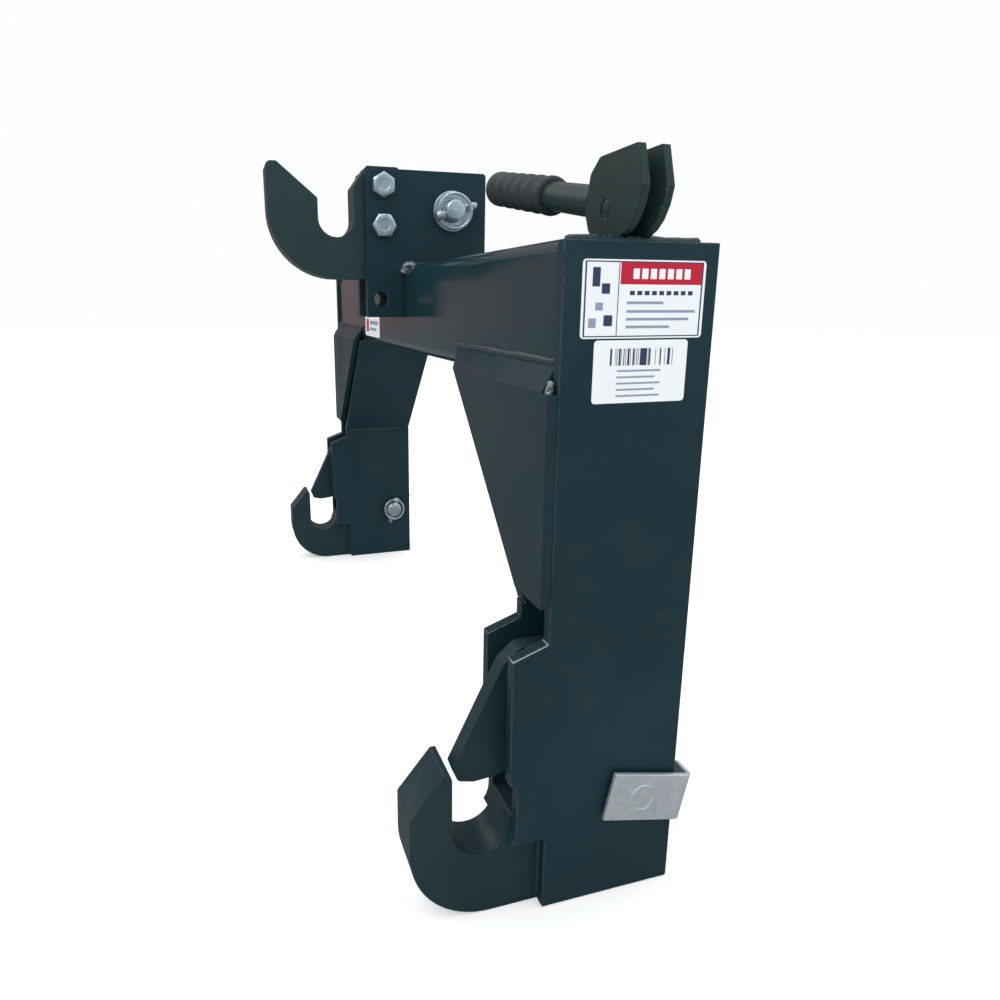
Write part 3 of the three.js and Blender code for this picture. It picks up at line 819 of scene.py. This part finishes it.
def reach(node: str, side: Side) -> tuple:
    """A CAD node's X nearest the hitch's middle, and its X farthest from it."""
    low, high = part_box(node)
    return (low.x, high.x) if side is Side.RIGHT else (high.x, low.x)


def cross_axis(node: str) -> Axis:
    """The line along X through the middle of a CAD node."""
    centre = middle(node)
    return line((0, centre.y, centre.z), (1, 0, 0), (0, 0, 1))


@dataclass
class Crossbar:
    """The square tube across the top, with its gussets and the welds that join them."""

    shop: Shop
    bead: float = 2.6 * MM
    worn_bead: float = 2.3 * MM

    def build(self) -> None:
        """Makes the bar and everything welded along it."""
        f = self.shop.finish
        self.shop.edged("crossbar", "coat", f.coat_bar, width=0.5 * MM)
        welds = WeldBead(11)
        for side in Side:
            self.shop.edged("gusset_plate_" + side.label, "coat", f.coat, f.coat_edge)
            self.shop.edged("gusset_face_" + side.label, "coat", f.coat, width=0.9 * MM)
            self._welds(welds, side)

    def _welds(self, welds: WeldBead, side: Side) -> None:
        """Beads round one leg's gusset and along the top of its outer side plate."""
        s, tag = side.value, side.label
        bar_low, bar_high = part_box("crossbar")
        face_low, face_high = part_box("gusset_face_" + tag)
        plate_low, plate_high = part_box("gusset_plate_" + tag)
        face_inner, _ = reach("gusset_face_" + tag, side)
        inside, outside = reach("outer_side_plate_" + tag, side)
        tip, foot = reach("gusset_plate_" + tag, side)
        inner_face, _ = reach("inner_side_plate_" + tag, side)
        front, back = plate_low.y + 3 * MM, min(plate_high.y, bar_high.y) - 3 * MM
        foot_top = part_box("inner_side_plate_" + tag)[1].z
        above_foot = foot_top + 1 * MM
        plate_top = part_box("outer_side_plate_" + tag)[1].z + 0.6 * MM
        seam = inside - s * 0.4 * MM
        runs = (
            ("gusset_top_weld_", False,
             (face_inner - s * 3 * MM, bar_low.y, face_high.z), (inside, bar_low.y, face_high.z)),
            ("gusset_plate_top_weld_", False, (tip, front, bar_low.z), (tip, back, bar_low.z)),
            ("gusset_plate_foot_weld_", False, (inner_face, front, foot_top), (inner_face, back, foot_top)),
            ("gusset_plate_back_weld_", False,
             (foot - s * 4 * MM, back, above_foot), (foot - s * 12 * MM, back, above_foot)),
            ("gusset_corner_weld_", True,
             (outside - s * 4 * MM, face_low.y + 2 * MM, bar_low.z - 2 * MM),
             (outside - s * 6 * MM, face_low.y + 5 * MM, bar_low.z + 7 * MM)),
            ("outer_plate_top_weld_", False,
             (seam, bar_low.y + 1 * MM, plate_top), (seam, bar_high.y + 2 * MM, plate_top)),
        )
        for name, worn, *corners in runs:
            self.shop.weld(welds, name + tag, corners, self.worn_bead if worn else self.bead, worn)


def hexagon(flats: float, turn: float) -> Callable[[Array, Array], Array]:
    """A section rule for turned: the radius is cut down to a hexagon's side at each angle.

    The hexagon's radius at angle a is half the flats over cos of the angle to the nearest flat.
    """
    def rule(radius: Array, angle: Array) -> Array:
        """The radius within the hexagon."""
        off = (angle - turn + math.pi / 6) % (math.pi / 3) - math.pi / 6
        return np.minimum(radius, flats / 2 / np.cos(off))
    return rule


@dataclass
class Mast:
    """The two mast plates on the bar, the upper hook bolted between them and the top link pin."""

    shop: Shop
    flats: float = 19.0 * MM
    shank: float = 12.7 * MM
    head: float = 8.0 * MM
    thread: float = 1.95 * MM
    thread_depth: float = 0.55 * MM
    thread_length: float = 24.0 * MM

    @property
    def corner(self) -> float:
        """The radius over a hexagon's corners."""
        return self.flats / 2 / math.cos(math.pi / 6)

    def build(self) -> None:
        """Makes the plates, hook, welds, bolts and pin."""
        f = self.shop.finish
        for side in Side:
            self.shop.edged("mast_plate_" + side.label, "coat", f.coat, f.coat_edge, width=0.8 * MM)
        self.shop.edged("top_hook", "coat", f.hook_top, f.coat_edge, width=1.6 * MM, segments=3)
        self._welds()
        for place, turn in (("upper", math.pi / 6), ("lower", 0.0)):
            self._head("mast_bolt_" + place, turn)
            self._shank("mast_bolt_" + place)
            self._nut(place, 0.2 + turn)
        self._pin()

    def _welds(self) -> None:
        """Beads where each plate meets the bar's top, with a thick worn run at its front corner."""
        welds = WeldBead(5)
        bar_low, bar_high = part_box("crossbar")
        front, top = bar_low.y, bar_high.z
        for side in Side:
            s = side.value
            _, face = reach("mast_plate_" + side.label, side)
            seam = [(face, front + 0.5 * MM, top - 7 * MM), (face, front + 2.6 * MM, top - 2.6 * MM),
                    (face, front + 9 * MM, top), (face, bar_high.y - 12 * MM, top)]
            self.shop.weld(welds, "mast_weld_" + side.label, seam, 3.0 * MM)
            corner = [(face + s * 1.5 * MM, front - 1 * MM, top - 8 * MM),
                      (face + s * 2.5 * MM, front + 1.5 * MM, top - 2 * MM),
                      (face + s * 2 * MM, front + 9 * MM, top + 0.5 * MM)]
            self.shop.weld(welds, "mast_corner_weld_" + side.label, corner, 4.2 * MM, worn=True)

    def _head(self, node: str, turn: float) -> None:
        """A hex head: a washer face, chamfered corners, a dished top and three raised marks."""
        zinc, top = self.shop.finish.zinc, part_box(node)[1].x
        face = top - self.head
        rim = self.flats * 0.44            # where the chamfer meets the flat top
        chamfer = 1.44 * (self.corner - self.flats / 2) * math.tan(math.radians(30))
        steps = [(face + 0.02 * MM, self.flats * 0.46), (face + 0.5 * MM, self.flats * 0.47),
                 (face + 0.55 * MM, self.corner)]
        steps += [(top - chamfer * (r - rim) / (self.corner - rim), r)
                  for r in np.linspace(self.corner, rim, 7)]
        steps += [(top - 0.05 * MM, self.flats * 0.43), (top, self.flats * 0.42), (top, self.flats * 0.28),
                  (top - 0.35 * MM, self.flats * 0.25), (top - 0.35 * MM, 0.5 * MM)]
        head = turned(node + "_head", cross_axis(node), steps, zinc, 96, hexagon(self.flats, turn), 28)
        self.shop.hang(head, "frame", "zinc", node)
        centre = middle(node)
        for k in range(3):
            angle = k * 2 * math.pi / 3 + 0.5
            out = np.array((0, math.cos(angle), math.sin(angle)))
            spot = line(np.array((0, centre.y, centre.z)) + out * 6.3 * MM, (1, 0, 0), out)
            mark = turned(f"{node}_mark_{k}", spot, run(top, 1, (-0.4, 0.6), (0.12, 0.55)), zinc, 10,
                          lambda r, a: r * (1 + 1.6 * np.abs(np.cos(a))))
            self.shop.hang(mark, "frame", "zinc")

    def _shank(self, node: str) -> None:
        """A bolt's plain shank and its thread, as rings whose radius follows the thread's pitch."""
        low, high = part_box(node)
        r = self.shank / 2
        turns = np.arange(low.x, low.x + self.thread_length, self.thread / 4)
        crest = r - self.thread_depth * (0.5 + 0.5 * np.cos(2 * math.pi * (turns - low.x) / self.thread))
        crest[:4] -= np.linspace(1.1 * MM, 0.2 * MM, 4)
        body = [*zip(turns, crest), (turns[-1] + 1 * MM, r - 0.05 * MM), (high.x - self.head + 1 * MM, r)]
        piece = turned(node + "_shank", cross_axis(node), body, self.shop.finish.zinc, 48)
        self.shop.hang(piece, "frame", "zinc")

    def _nut(self, place: str, turn: float) -> None:
        """A hex nut: chamfered both ends, with a countersunk bore that its bolt fills."""
        node = "mast_nut_" + place
        low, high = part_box(node)
        bore = self.shank / 2 + 0.05 * MM
        dip = 0.9 * MM
        profile = [(low.x + dip, bore), (low.x, bore + dip), (low.x, self.flats * 0.45),
                   (low.x + dip, self.corner), (high.x - dip, self.corner), (high.x, self.flats * 0.46),
                   (high.x, bore + dip), (high.x - dip, bore)]
        piece = turned(node + "_hex", cross_axis("mast_bolt_" + place), profile, self.shop.finish.zinc, 96,
                       hexagon(self.flats, turn), 28, bored=True)
        self.shop.hang(piece, "frame", "zinc", node)

    def _pin(self) -> None:
        """The top link pin, with a chamfered end, a flat round head, a washer and its linch pin."""
        zinc, axis = self.shop.finish.zinc, cross_axis("top_link_pin")
        low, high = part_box("top_link_pin")
        _, plate = reach("mast_plate_left", Side.LEFT)
        steps = run(low.x, 1, (0, 12.5), (1.2, 14.4), (2, 15))
        steps += run(plate, -1, (1, 15), (0.4, 14.5), (0.35, 9.5))
        steps += run(high.x, -1, (2.4, 9.5), (1, 9), (0.2, 7.9), (0, 7.1))
        pin = turned("top_link_pin_turned", axis, steps, zinc, 72, sharp=30)
        self.shop.hang(pin, "top_link_pin", "zinc", "top_link_pin")
        low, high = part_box("top_link_washer")
        profile = run(low.x, 1, (0, 9.9), (0, 17.3), (0.7, 18))
        profile += run(high.x, -1, (0.3, 18), (0, 17.6), (0, 10.1))
        washer = turned("top_link_washer_pressed", axis, profile, zinc, 72, sharp=30, bored=True)
        self.shop.hang(washer, "top_link_pin", "zinc", "top_link_washer")
        LinchPin(self.shop, "top_link", -107.0, 1, 15.2 * MM).build()


@dataclass
class LinchPin:
    """A linch pin: a tapered shank through a pin, with a barrel head and a snap ring over its end."""

    shop: Shop
    stem: str
    tilt: float
    ring_side: int
    ring_radius: float
    tag: str = ""
    wire: float = 1.45 * MM
    shank: float = 3.4 * MM
    head: float = 4.7 * MM
    head_length: float = 6.0 * MM
    past_ring: float = 8.0 * MM
    play: float = 0.55 * MM

    def build(self) -> None:
        """Makes the pin and its ring, tilted about X by -tilt degrees."""
        zinc = self.shop.finish.zinc
        pin_node, ring_node = self.stem + "_linch_pin" + self.tag, self.stem + "_linch_ring" + self.tag
        centre = middle(pin_node)
        lean = math.radians(-self.tilt)
        up = np.array([0, -math.sin(lean), math.cos(lean)])
        side = np.array([0, math.cos(lean), math.sin(lean)])
        span = 2 * self.ring_radius + self.past_ring + self.head_length / 2
        base = np.array(centre) - up * (span / 2)
        axis = line(base, up, (1, 0, 0))
        r, h = self.shank, self.head
        neck = span - self.head_length
        steps = run(0, 1, (0, 1.2), (0.5, 2.2)) + [(2.2 * MM, r - 0.5 * MM), (5 * MM, r), (neck - 3 * MM, r)]
        steps += [(neck - 1.2 * MM, r + 0.4 * MM), (neck, h - 0.8 * MM), (neck + 0.8 * MM, h)]
        steps += [(span - 1.2 * MM, h), (span - 0.4 * MM, h - 0.5 * MM), (span, h - 1.3 * MM)]
        pin = turned(pin_node + "_turned", axis, steps, zinc, 40, sharp=40)
        self.shop.hang(pin, self.shop.body_of(pin_node), "zinc", pin_node)
        eye = base + up * (neck + self.head_length / 2) + np.array([self.ring_side * 0.6 * MM, 0, 0])
        out = math.asin((self.shank + self.wire + self.play) / (2 * self.ring_radius))
        down = -up * math.cos(out) + np.array([self.ring_side, 0, 0]) * math.sin(out)
        angle = np.linspace(0, 2 * math.pi, 96, endpoint=False)[:, None]
        ring = (eye + down * self.ring_radius * (1 - np.cos(angle)) + side * self.ring_radius * np.sin(angle))
        flat = 1 + 0.25 * np.exp(-((angle[:, 0] - math.pi) / 0.5) ** 2)
        made = swept(ring_node + "_wire", ring, self.wire * flat, zinc, 16, closed=True)
        self.shop.hang(made, self.shop.body_of(ring_node), "zinc", ring_node)


@dataclass
class Leg:
    """One leg: two side plates with the lower hook, latch, pull rod and spring between them."""

    shop: Shop
    side: Side
    spring_wire: float = 1.5 * MM
    spring_turns: float = 9.0
    seam: float = 90.0 * MM            # from the side plates' back edge to the beads near their front
    bead: float = 1.9 * MM

    def build(self) -> None:
        """Makes the leg's plates and mechanism."""
        f = self.shop.finish
        self.shop.edged_all(self.side.label, (
            # The side plates' jaw edges show bare steel on their upward edges: wear and a painted highlight.
            ("outer_side_plate_", "coat", f.coat, f.coat_jaw, 0.8, 2),
            ("inner_side_plate_", "coat", f.coat, f.coat_jaw, 0.8, 2),
            ("lower_hook_", "coat", f.hook, f.coat_edge, 2.0, 3),
            ("latch_", "coat", f.hook, f.coat_edge, 0.9, 2),
            ("latch_pivot_pin_", "coat", f.coat, f.coat_edge, 0.5, 2),
            ("pull_rod_", "steel", f.steel, f.steel, 0.4, 2),
            ("rod_link_pin_", "steel", f.pin_steel, f.pin_steel, 0.5, 2),
            ("spring_collar_", "steel", f.pin_steel, f.pin_steel, 0.5, 2)))
        self._spring()
        self._welds()

    def _spring(self) -> None:
        """The rod spring: an open helix whose first and last turns lie flat and close.

        At share t of its length a point is at angle 2 pi n t, and at a height that grows slowly in the
        end turns and evenly between them.
        """
        node = "rod_spring_" + self.side.label
        low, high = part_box(node)
        centre = (low + high) / 2
        wire, turns, steps = self.spring_wire, self.spring_turns, 540
        radius = (high.x - low.x) / 2 - wire
        t = np.linspace(0, 1, steps)
        slope = np.clip(np.minimum(t, 1 - t) * turns - 0.7, 0.0, 0.6) / 0.6 + 0.32
        rise = np.cumsum(slope)
        rise = (rise - rise[0]) / (rise[-1] - rise[0])
        angle = 2 * math.pi * turns * t
        path = np.stack([centre.x + radius * np.cos(angle), centre.y + radius * np.sin(angle),
                         low.z + wire + (high.z - low.z - 2 * wire) * rise], axis=1)
        piece = swept(node + "_coil", path, np.full(steps, wire), self.shop.finish.steel, 14)
        self.shop.hang(piece, "frame", "steel", node)
        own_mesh(piece)

    def _welds(self) -> None:
        """Beads that join both side plates to the hook: up their front edge and along under it."""
        tag = self.side.label
        welds = WeldBead(23 + self.side.value)
        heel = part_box("lower_hook_" + tag)[1].y - 2 * MM
        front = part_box("outer_side_plate_" + tag)[1].y - self.seam
        under = 0.3 * MM + self.bead * 1.1
        for node, end in (("outer_side_plate_", 0), ("inner_side_plate_", 1)):
            x = reach(node + tag, self.side)[end]
            rising = [(x, front, 3 * MM), (x, front, 48 * MM), (x, front - 16 * MM, 48.5 * MM)]
            self.shop.weld(welds, node + "hook_weld_" + tag, rising, self.bead)
            level = [(x, front + 6 * MM, under), (x, heel, under)]
            self.shop.weld(welds, node + "foot_weld_" + tag, level, self.bead)


@dataclass
class Lever:
    """One release lever: two cam ears, the pivot pin, the round bar and its rubber grip."""

    shop: Shop
    side: Side
    tilt: float = 10.1
    rise: float = 2.3 * MM
    grip_start: float = 86.0 * MM
    grip_end: float = 184.0 * MM
    grip_radius: float = 12.3 * MM
    groove: float = 2.5 * MM
    ribs: int = 5

    def build(self) -> None:
        """Makes the lever's pieces on its own body."""
        f, tag = self.shop.finish, self.side.label
        # Ears and bar take the olive-tinted coat: a painted reflection.
        self.shop.edged_all(tag, [(node, "coat", f.coat_ear, f.coat_edge, 0.6, 3)
                                  for node in ("lever_ear_front_", "lever_ear_rear_")])
        self._pin()
        self.shop.edged("lever_bar_" + tag, "coat", f.coat_ear, width=0.6 * MM, angle=20)
        self._grip()

    def _pin(self) -> None:
        """The pivot pin, peened over a little at both ends."""
        tag, finish = self.side.label, self.shop.finish.coat_edge
        node = "lever_pivot_pin_" + tag
        pin = middle(node)
        low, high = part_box(node)
        axis = line((pin.x, 0, pin.z), (0, 1, 0), (1, 0, 0))
        ends = run(low.y, 1, (0, 4.4), (0.4, 5.2)) + run(high.y, -1, (0.4, 5.2), (0, 4.4))
        piece = turned("lever_pivot_pin_turned_" + tag, axis, ends, finish, 40)
        self.shop.hang(piece, "lever_" + tag, "coat", node)

    def _handle(self) -> Axis:
        """The handle's own axis, from over the pivot out towards the mast and up by the tilt."""
        a, s = math.radians(self.tilt), self.side.value
        along = np.array((-s * math.cos(a), 0, math.sin(a)))
        up = np.array((s * math.sin(a), 0, math.cos(a)))
        pin = middle("lever_pivot_pin_" + self.side.label)
        return line(np.array(pin) + up * self.rise, along, (0, 1, 0))

    def _grip(self) -> None:
        """The grip: soft round ribs between grooves, a thicker collar at the mouth and a domed end.

        The radius is R - d * (1 - (0.5 + 0.5 cos(2 pi n u)) ** 2) over the ribbed stretch.
        """
        tag, radius, dome = self.side.label, self.grip_radius, 5 * MM
        first, last = self.grip_start + 5 * MM, self.grip_end - 8 * MM
        u = np.linspace(0, 1, self.ribs * 14 + 1)
        ribbed = radius - self.groove * (1 - (0.5 + 0.5 * np.cos(2 * math.pi * self.ribs * u)) ** 2)
        steps = run(self.grip_start, 1, (0, 9.4), (0, 10.6), (1, 11.9)) + [(self.grip_start + 3 * MM, radius)]
        steps += [(first + (last - first) * a, r) for a, r in zip(u, ribbed)]
        steps += [(last + 4 * MM + dome * math.sin(a), radius - dome + dome * math.cos(a))
                  for a in np.linspace(0, math.pi / 2, 9)[1:]]
        rubber = self.shop.finish.rubber
        piece = turned("lever_grip_moulded_" + tag, self._handle(), steps, rubber, 56, sharp=60)
        self.shop.hang(piece, "lever_" + tag, "rubber", "lever_grip_" + tag)


@dataclass
class HitchPin:
    """One lower link pin: a turned pin with a bent flag welded on its outer end and a linch pin inside."""

    shop: Shop
    side: Side
    mark_radius: float = 8.4 * MM

    def build(self) -> None:
        """Makes the pin, flag, weld mark and linch pin on the pin's body."""
        zinc, sheet = self.shop.finish.zinc, self.shop.finish.zinc_flag
        tag, s = self.side.label, self.side.value
        body = node = "hitch_pin_" + tag
        inner, outer = reach(node, self.side)
        steps = run(inner, s, (0, 8), (0.7, 9.4), (2.4, 10.7), (3.2, 11))
        steps += run(outer, -s, (0.4, 11), (0, 10.6))
        pin = turned("hitch_pin_turned_" + tag, cross_axis(node), steps, zinc, 72, sharp=40)
        self.shop.hang(pin, body, "zinc", node)
        self.shop.edged("hitch_pin_flag_" + tag, "zinc", sheet, width=0.6 * MM, segments=3)
        self.shop.hang(self._weld_mark(), body, "zinc")
        LinchPin(self.shop, "hitch", 17.0, -s, 14.2 * MM, "_" + tag).build()

    def _weld_mark(self) -> Object:
        """A thin uneven ring on the flag's face, where the pin is welded through it."""
        tag, count = self.side.label, 90
        _, face = reach("hitch_pin_flag_" + tag, self.side)
        centre = middle("hitch_pin_" + tag)
        turn = np.linspace(0, 2 * math.pi, count, endpoint=False)
        rng = np.random.default_rng(3)
        waver = np.interp(np.arange(count), np.arange(0, count, 9), rng.uniform(-0.5, 0.5, 10)) * MM
        radius = self.mark_radius + waver
        ring = np.stack([np.full(count, face - self.side.value * 0.15 * MM),
                         centre.y + radius * np.cos(turn), centre.z + radius * np.sin(turn)], axis=1)
        bead = 0.75 * MM * (1 + 0.25 * np.sin(turn * 23))
        return swept("hitch_pin_weld_ring_" + tag, ring, bead, self.shop.finish.zinc_flag, 10, closed=True,
                     squash=0.7)


class Slabs:
    """Thin rounded slabs on one flat face, gathered for a single mesh."""

    def __init__(self, origin: tuple, across: tuple, up: tuple) -> None:
        """Keeps the face's corner and its two directions."""
        self.origin, self.across, self.up = (np.array(v, float) for v in (origin, across, up))
        self.out = np.cross(self.across, self.up)
        self.points, self.faces, self.slots = [], [], []

    def add(self, box: Sequence[float], base: float, top: float, radius: float, slot: int) -> None:
        """Adds one slab.

        Args:
            box: Left, bottom, right and top on the face, in metres.
            base: Its underside's height off the face.
            top: Its top's height off the face.
            radius: The radius of its corners.
            slot: Its material slot.
        """
        x0, z0, x1, z1 = box
        turn = np.linspace(0, math.pi / 2, 5)
        rim = []
        for k, (x, z) in enumerate(((x1 - radius, z1 - radius), (x0 + radius, z1 - radius),
                                    (x0 + radius, z0 + radius), (x1 - radius, z0 + radius))):
            angle = turn + k * math.pi / 2
            rim.append(np.stack([x + radius * np.cos(angle), z + radius * np.sin(angle)], axis=1))
        flat = np.vstack(rim)
        n, at = len(flat), len(self.points)
        on_face = self.origin + flat[:, :1] * self.across + flat[:, 1:] * self.up
        for depth in (base, top):
            self.points.extend(on_face + depth * self.out)
        self.faces.append([at + n + k for k in range(n)])
        self.faces.append([at + n - 1 - k for k in range(n)])
        self.faces.extend([at + k, at + (k + 1) % n, at + n + (k + 1) % n, at + n + k] for k in range(n))
        self.slots.extend([slot] * (n + 2))


@dataclass
class Label:
    """A vinyl label with plain printed blocks and no lettering, on a flat face.

    The film is 0.14 mm thick. Each ink is a slab over it; the first few blocks lie over one another,
    so each starts a little higher than the last.
    """

    shop: Shop
    name: str
    origin: tuple
    across: tuple
    width: float
    height: float
    corner: float = 2.0 * MM
    film: tuple = (0.02 * MM, 0.16 * MM)
    first_ink: float = 0.162 * MM
    ink_step: float = 0.013 * MM
    ink: float = 0.012 * MM
    layers: int = 4

    def build(self, patches: Iterable[tuple]) -> None:
        """Makes the film and its printing as one piece.

        Args:
            patches: (left, bottom, right, top, ink) for each printed block, as shares of the label.
        """
        inks: list = [self.shop.finish.film_white]
        slabs = Slabs(self.origin, self.across, (0, 0, 1))
        slabs.add((0, 0, self.width, self.height), *self.film, self.corner, 0)
        for k, (x0, z0, x1, z1, ink) in enumerate(patches):
            if ink not in inks:
                inks.append(ink)
            level = self.first_ink + self.ink_step * min(k, self.layers)
            box = (x0 * self.width, z0 * self.height, x1 * self.width, z1 * self.height)
            slabs.add(box, level, level + self.ink, 0.25 * MM, inks.index(ink))
        piece = mesh_object(self.name, slabs.points, slabs.faces, inks, slabs.slots, smooth=False)
        self.shop.hang(piece, "frame", "coat")


def warning_blocks(f: Finishes) -> list:
    """The upper leg label: a ruled frame, a red head and rows of blocks."""
    ink, grey, red, white = f.film_ink, f.film_grey, f.film_red, f.film_white
    frame = [(0.02, 0.02, 0.98, 0.98, ink), (0.033, 0.036, 0.967, 0.964, white),
             (0.3, 0.69, 0.967, 0.964, red), (0.284, 0.036, 0.291, 0.964, ink)]
    sketch = [(0.08, 0.66, 0.14, 0.9, ink), (0.155, 0.57, 0.22, 0.7, ink), (0.11, 0.36, 0.17, 0.46, grey),
              (0.18, 0.16, 0.25, 0.3, ink), (0.06, 0.14, 0.12, 0.26, grey)]
    rows = [(0.36, 0.44, 0.66, 0.475, grey), (0.36, 0.33, 0.93, 0.365, grey), (0.36, 0.23, 0.88, 0.265, grey),
            (0.36, 0.13, 0.72, 0.165, grey)]
    head = [(0.4 + 0.07 * k, 0.76, 0.45 + 0.07 * k, 0.89, white) for k in range(7)]
    under = [(0.38 + 0.06 * k, 0.555, 0.42 + 0.06 * k, 0.61, ink) for k in range(9)]
    return frame + sketch + rows + head + under


def stripe_blocks(f: Finishes) -> list:
    """The lower leg label: upright stripes of uneven width over five rules."""
    edges = np.sort(np.random.default_rng(8).uniform(0.16, 0.845, 44)).reshape(-1, 2)
    stripes = [(a, 0.6, max(b - 0.003, a + 0.004), 0.87, f.film_ink) for a, b in edges]
    rules = [(0.25, 0.5 - 0.1 * k, 0.72 - 0.06 * (k % 2), 0.53 - 0.1 * k, f.film_grey) for k in range(5)]
    return stripes + rules


def stamp_blocks(f: Finishes) -> list:
    """The bar's label: a white panel with a red block and two rules."""
    return [(0.03, 0.06, 0.97, 0.94, f.film_white), (0.08, 0.2, 0.26, 0.8, f.film_red),
            (0.32, 0.56, 0.9, 0.74, f.film_grey), (0.32, 0.28, 0.78, 0.42, f.film_grey)]


def labels(shop: Shop) -> None:
    """Puts three plain labels on the frame: two on the right leg and one on the bar."""
    back_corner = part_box("outer_side_plate_right")[1]
    face, front = back_corner.x, back_corner.y - LEG_DEPTH
    bar_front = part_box("crossbar")[0].y
    f = shop.finish
    rows = (
        ("leg_label_upper", (face, front + 10.8 * MM, 352.5 * MM), (0, 1, 0), 73.4, 40, warning_blocks(f)),
        ("leg_label_lower", (face, front + 19.3 * MM, 318.2 * MM), (0, 1, 0), 57, 33.4, stripe_blocks(f)),
        ("bar_label", (-168.5 * MM, bar_front, 331.5 * MM), (1, 0, 0), 78.5, 24, stamp_blocks(f)),
    )
    for name, corner, across, width, height, blocks in rows:
        Label(shop, name, corner, across, width * MM, height * MM).build(blocks)


@dataclass
class Studio:
    """The floor, the soft lights, the surround and the camera; places in metres, angles in degrees."""

    finish: Finishes
    place: tuple = (0.71144, -0.16085, 0.37158)
    heading: float = 72.51
    down: float = 13.92
    roll: float = -0.14
    focal: float = 26.2
    shift: tuple = (0.05, -0.0188)

    def build(self) -> None:
        """Sets up everything that isn't the hitch."""
        self._floor()
        self._light("key_softbox", (1.7, -1.5, 2.3), (0.1, 0, 0.25), 1.8, 16)
        self._light("fill_softbox", (1.4, 1.9, 1.4), (0.1, 0, 0.2), 1.6, 5)
        self._light("back_softbox", (-1.6, -1.4, 1.9), (0, 0, 0.25), 1.5, 10)
        self._light("top_softbox", (-0.3, 0.4, 2.6), (0, 0, 0.3), 2.0, 14)
        self._world()
        self._camera()

    def _floor(self) -> Object:
        """A broad level disc whose rim is far outside the view."""
        radii = np.array([0.0001, 0.5, 1.5, 4.0, 9.0])
        around, level = 96, -0.4 * MM
        angle = np.linspace(0, 2 * math.pi, around, endpoint=False)
        points = np.stack([np.outer(radii, np.cos(angle)), np.outer(radii, np.sin(angle)),
                           np.full((len(radii), around), level)], axis=-1).reshape(-1, 3)
        faces = grid_faces(len(radii), around)
        return outward(mesh_object("studio_floor_disc", points, faces, [self.finish.floor]), 1e-4)

    def _light(self, name: str, place: tuple, aim: tuple, size: float, power: float) -> None:
        """A square soft light turned towards a point."""
        data = bpy.data.lights.new(name, "AREA")
        data.shape = "SQUARE"
        data.size = size
        data.energy = power
        data.color = (1.0, 0.99, 0.98)
        made = bpy.data.objects.new(name, data)
        made.location = place
        made.rotation_euler = (Vector(aim) - Vector(place)).to_track_quat("-Z", "Y").to_euler()
        bpy.context.scene.collection.objects.link(made)

    def _world(self) -> None:
        """A white surround that gloss sees dimmer: brown-pink towards -X, blue-green towards +X."""
        world = bpy.data.worlds.new("studio_surround")
        world.use_nodes = True
        w = Wiring(world.node_tree)
        shade = world.node_tree.nodes["Background"]
        place = w.node("ShaderNodeSeparateXYZ")
        w.link(w.node("ShaderNodeTexCoord").outputs["Generated"], place.inputs[0])
        sides = w.mix(w.ramp(place.outputs["X"], -0.7, 0.5), (0.3, 0.2, 0.21, 1), (0.34, 0.5, 0.56, 1))
        tops = w.mix(w.ramp(place.outputs["Z"], 0.25, 0.9), sides, (0.62, 0.72, 0.76, 1))
        gloss = w.node("ShaderNodeLightPath").outputs["Is Glossy Ray"]
        w.link(w.mix(gloss, (0.985, 0.995, 1.0, 1), tops), shade.inputs["Color"])
        shade.inputs["Strength"].default_value = 1.0
        bpy.context.scene.world = world
        bpy.context.scene.view_settings.view_transform = "Standard"

    def _camera(self) -> None:
        """The camera, aimed by heading from +Y towards -X and by its tilt down."""
        data = bpy.data.cameras.new("camera")
        data.lens = self.focal
        data.sensor_width = 36.0
        data.shift_x, data.shift_y = self.shift
        data.clip_start = 0.01
        made = bpy.data.objects.new("camera", data)
        made.location = self.place
        made.rotation_euler = Euler((math.radians(90 - self.down), math.radians(self.roll),
                                     math.radians(self.heading)), "XYZ")
        bpy.context.scene.collection.objects.link(made)
        bpy.context.scene.camera = made


def main() -> None:
    """Builds the hitch over its frame."""
    logging.basicConfig(level=logging.INFO, format="%(name)s: %(message)s")
    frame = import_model()
    finishes = Finishes(ShaderParts.build())
    shop = Shop(nodes=frame["nodes"], joints={j["name"]: j for j in frame["joints"]},
                bodies=frame["record"]["behaviour"]["bodies"], finish=finishes)
    Studio(finishes).build()
    Crossbar(shop).build()
    Mast(shop).build()
    for side in Side:
        Leg(shop, side).build()
        Lever(shop, side).build()
        HitchPin(shop, side).build()
    labels(shop)
    log.info("%d pieces made", shop.made)


if __name__ == "__main__":
    main()
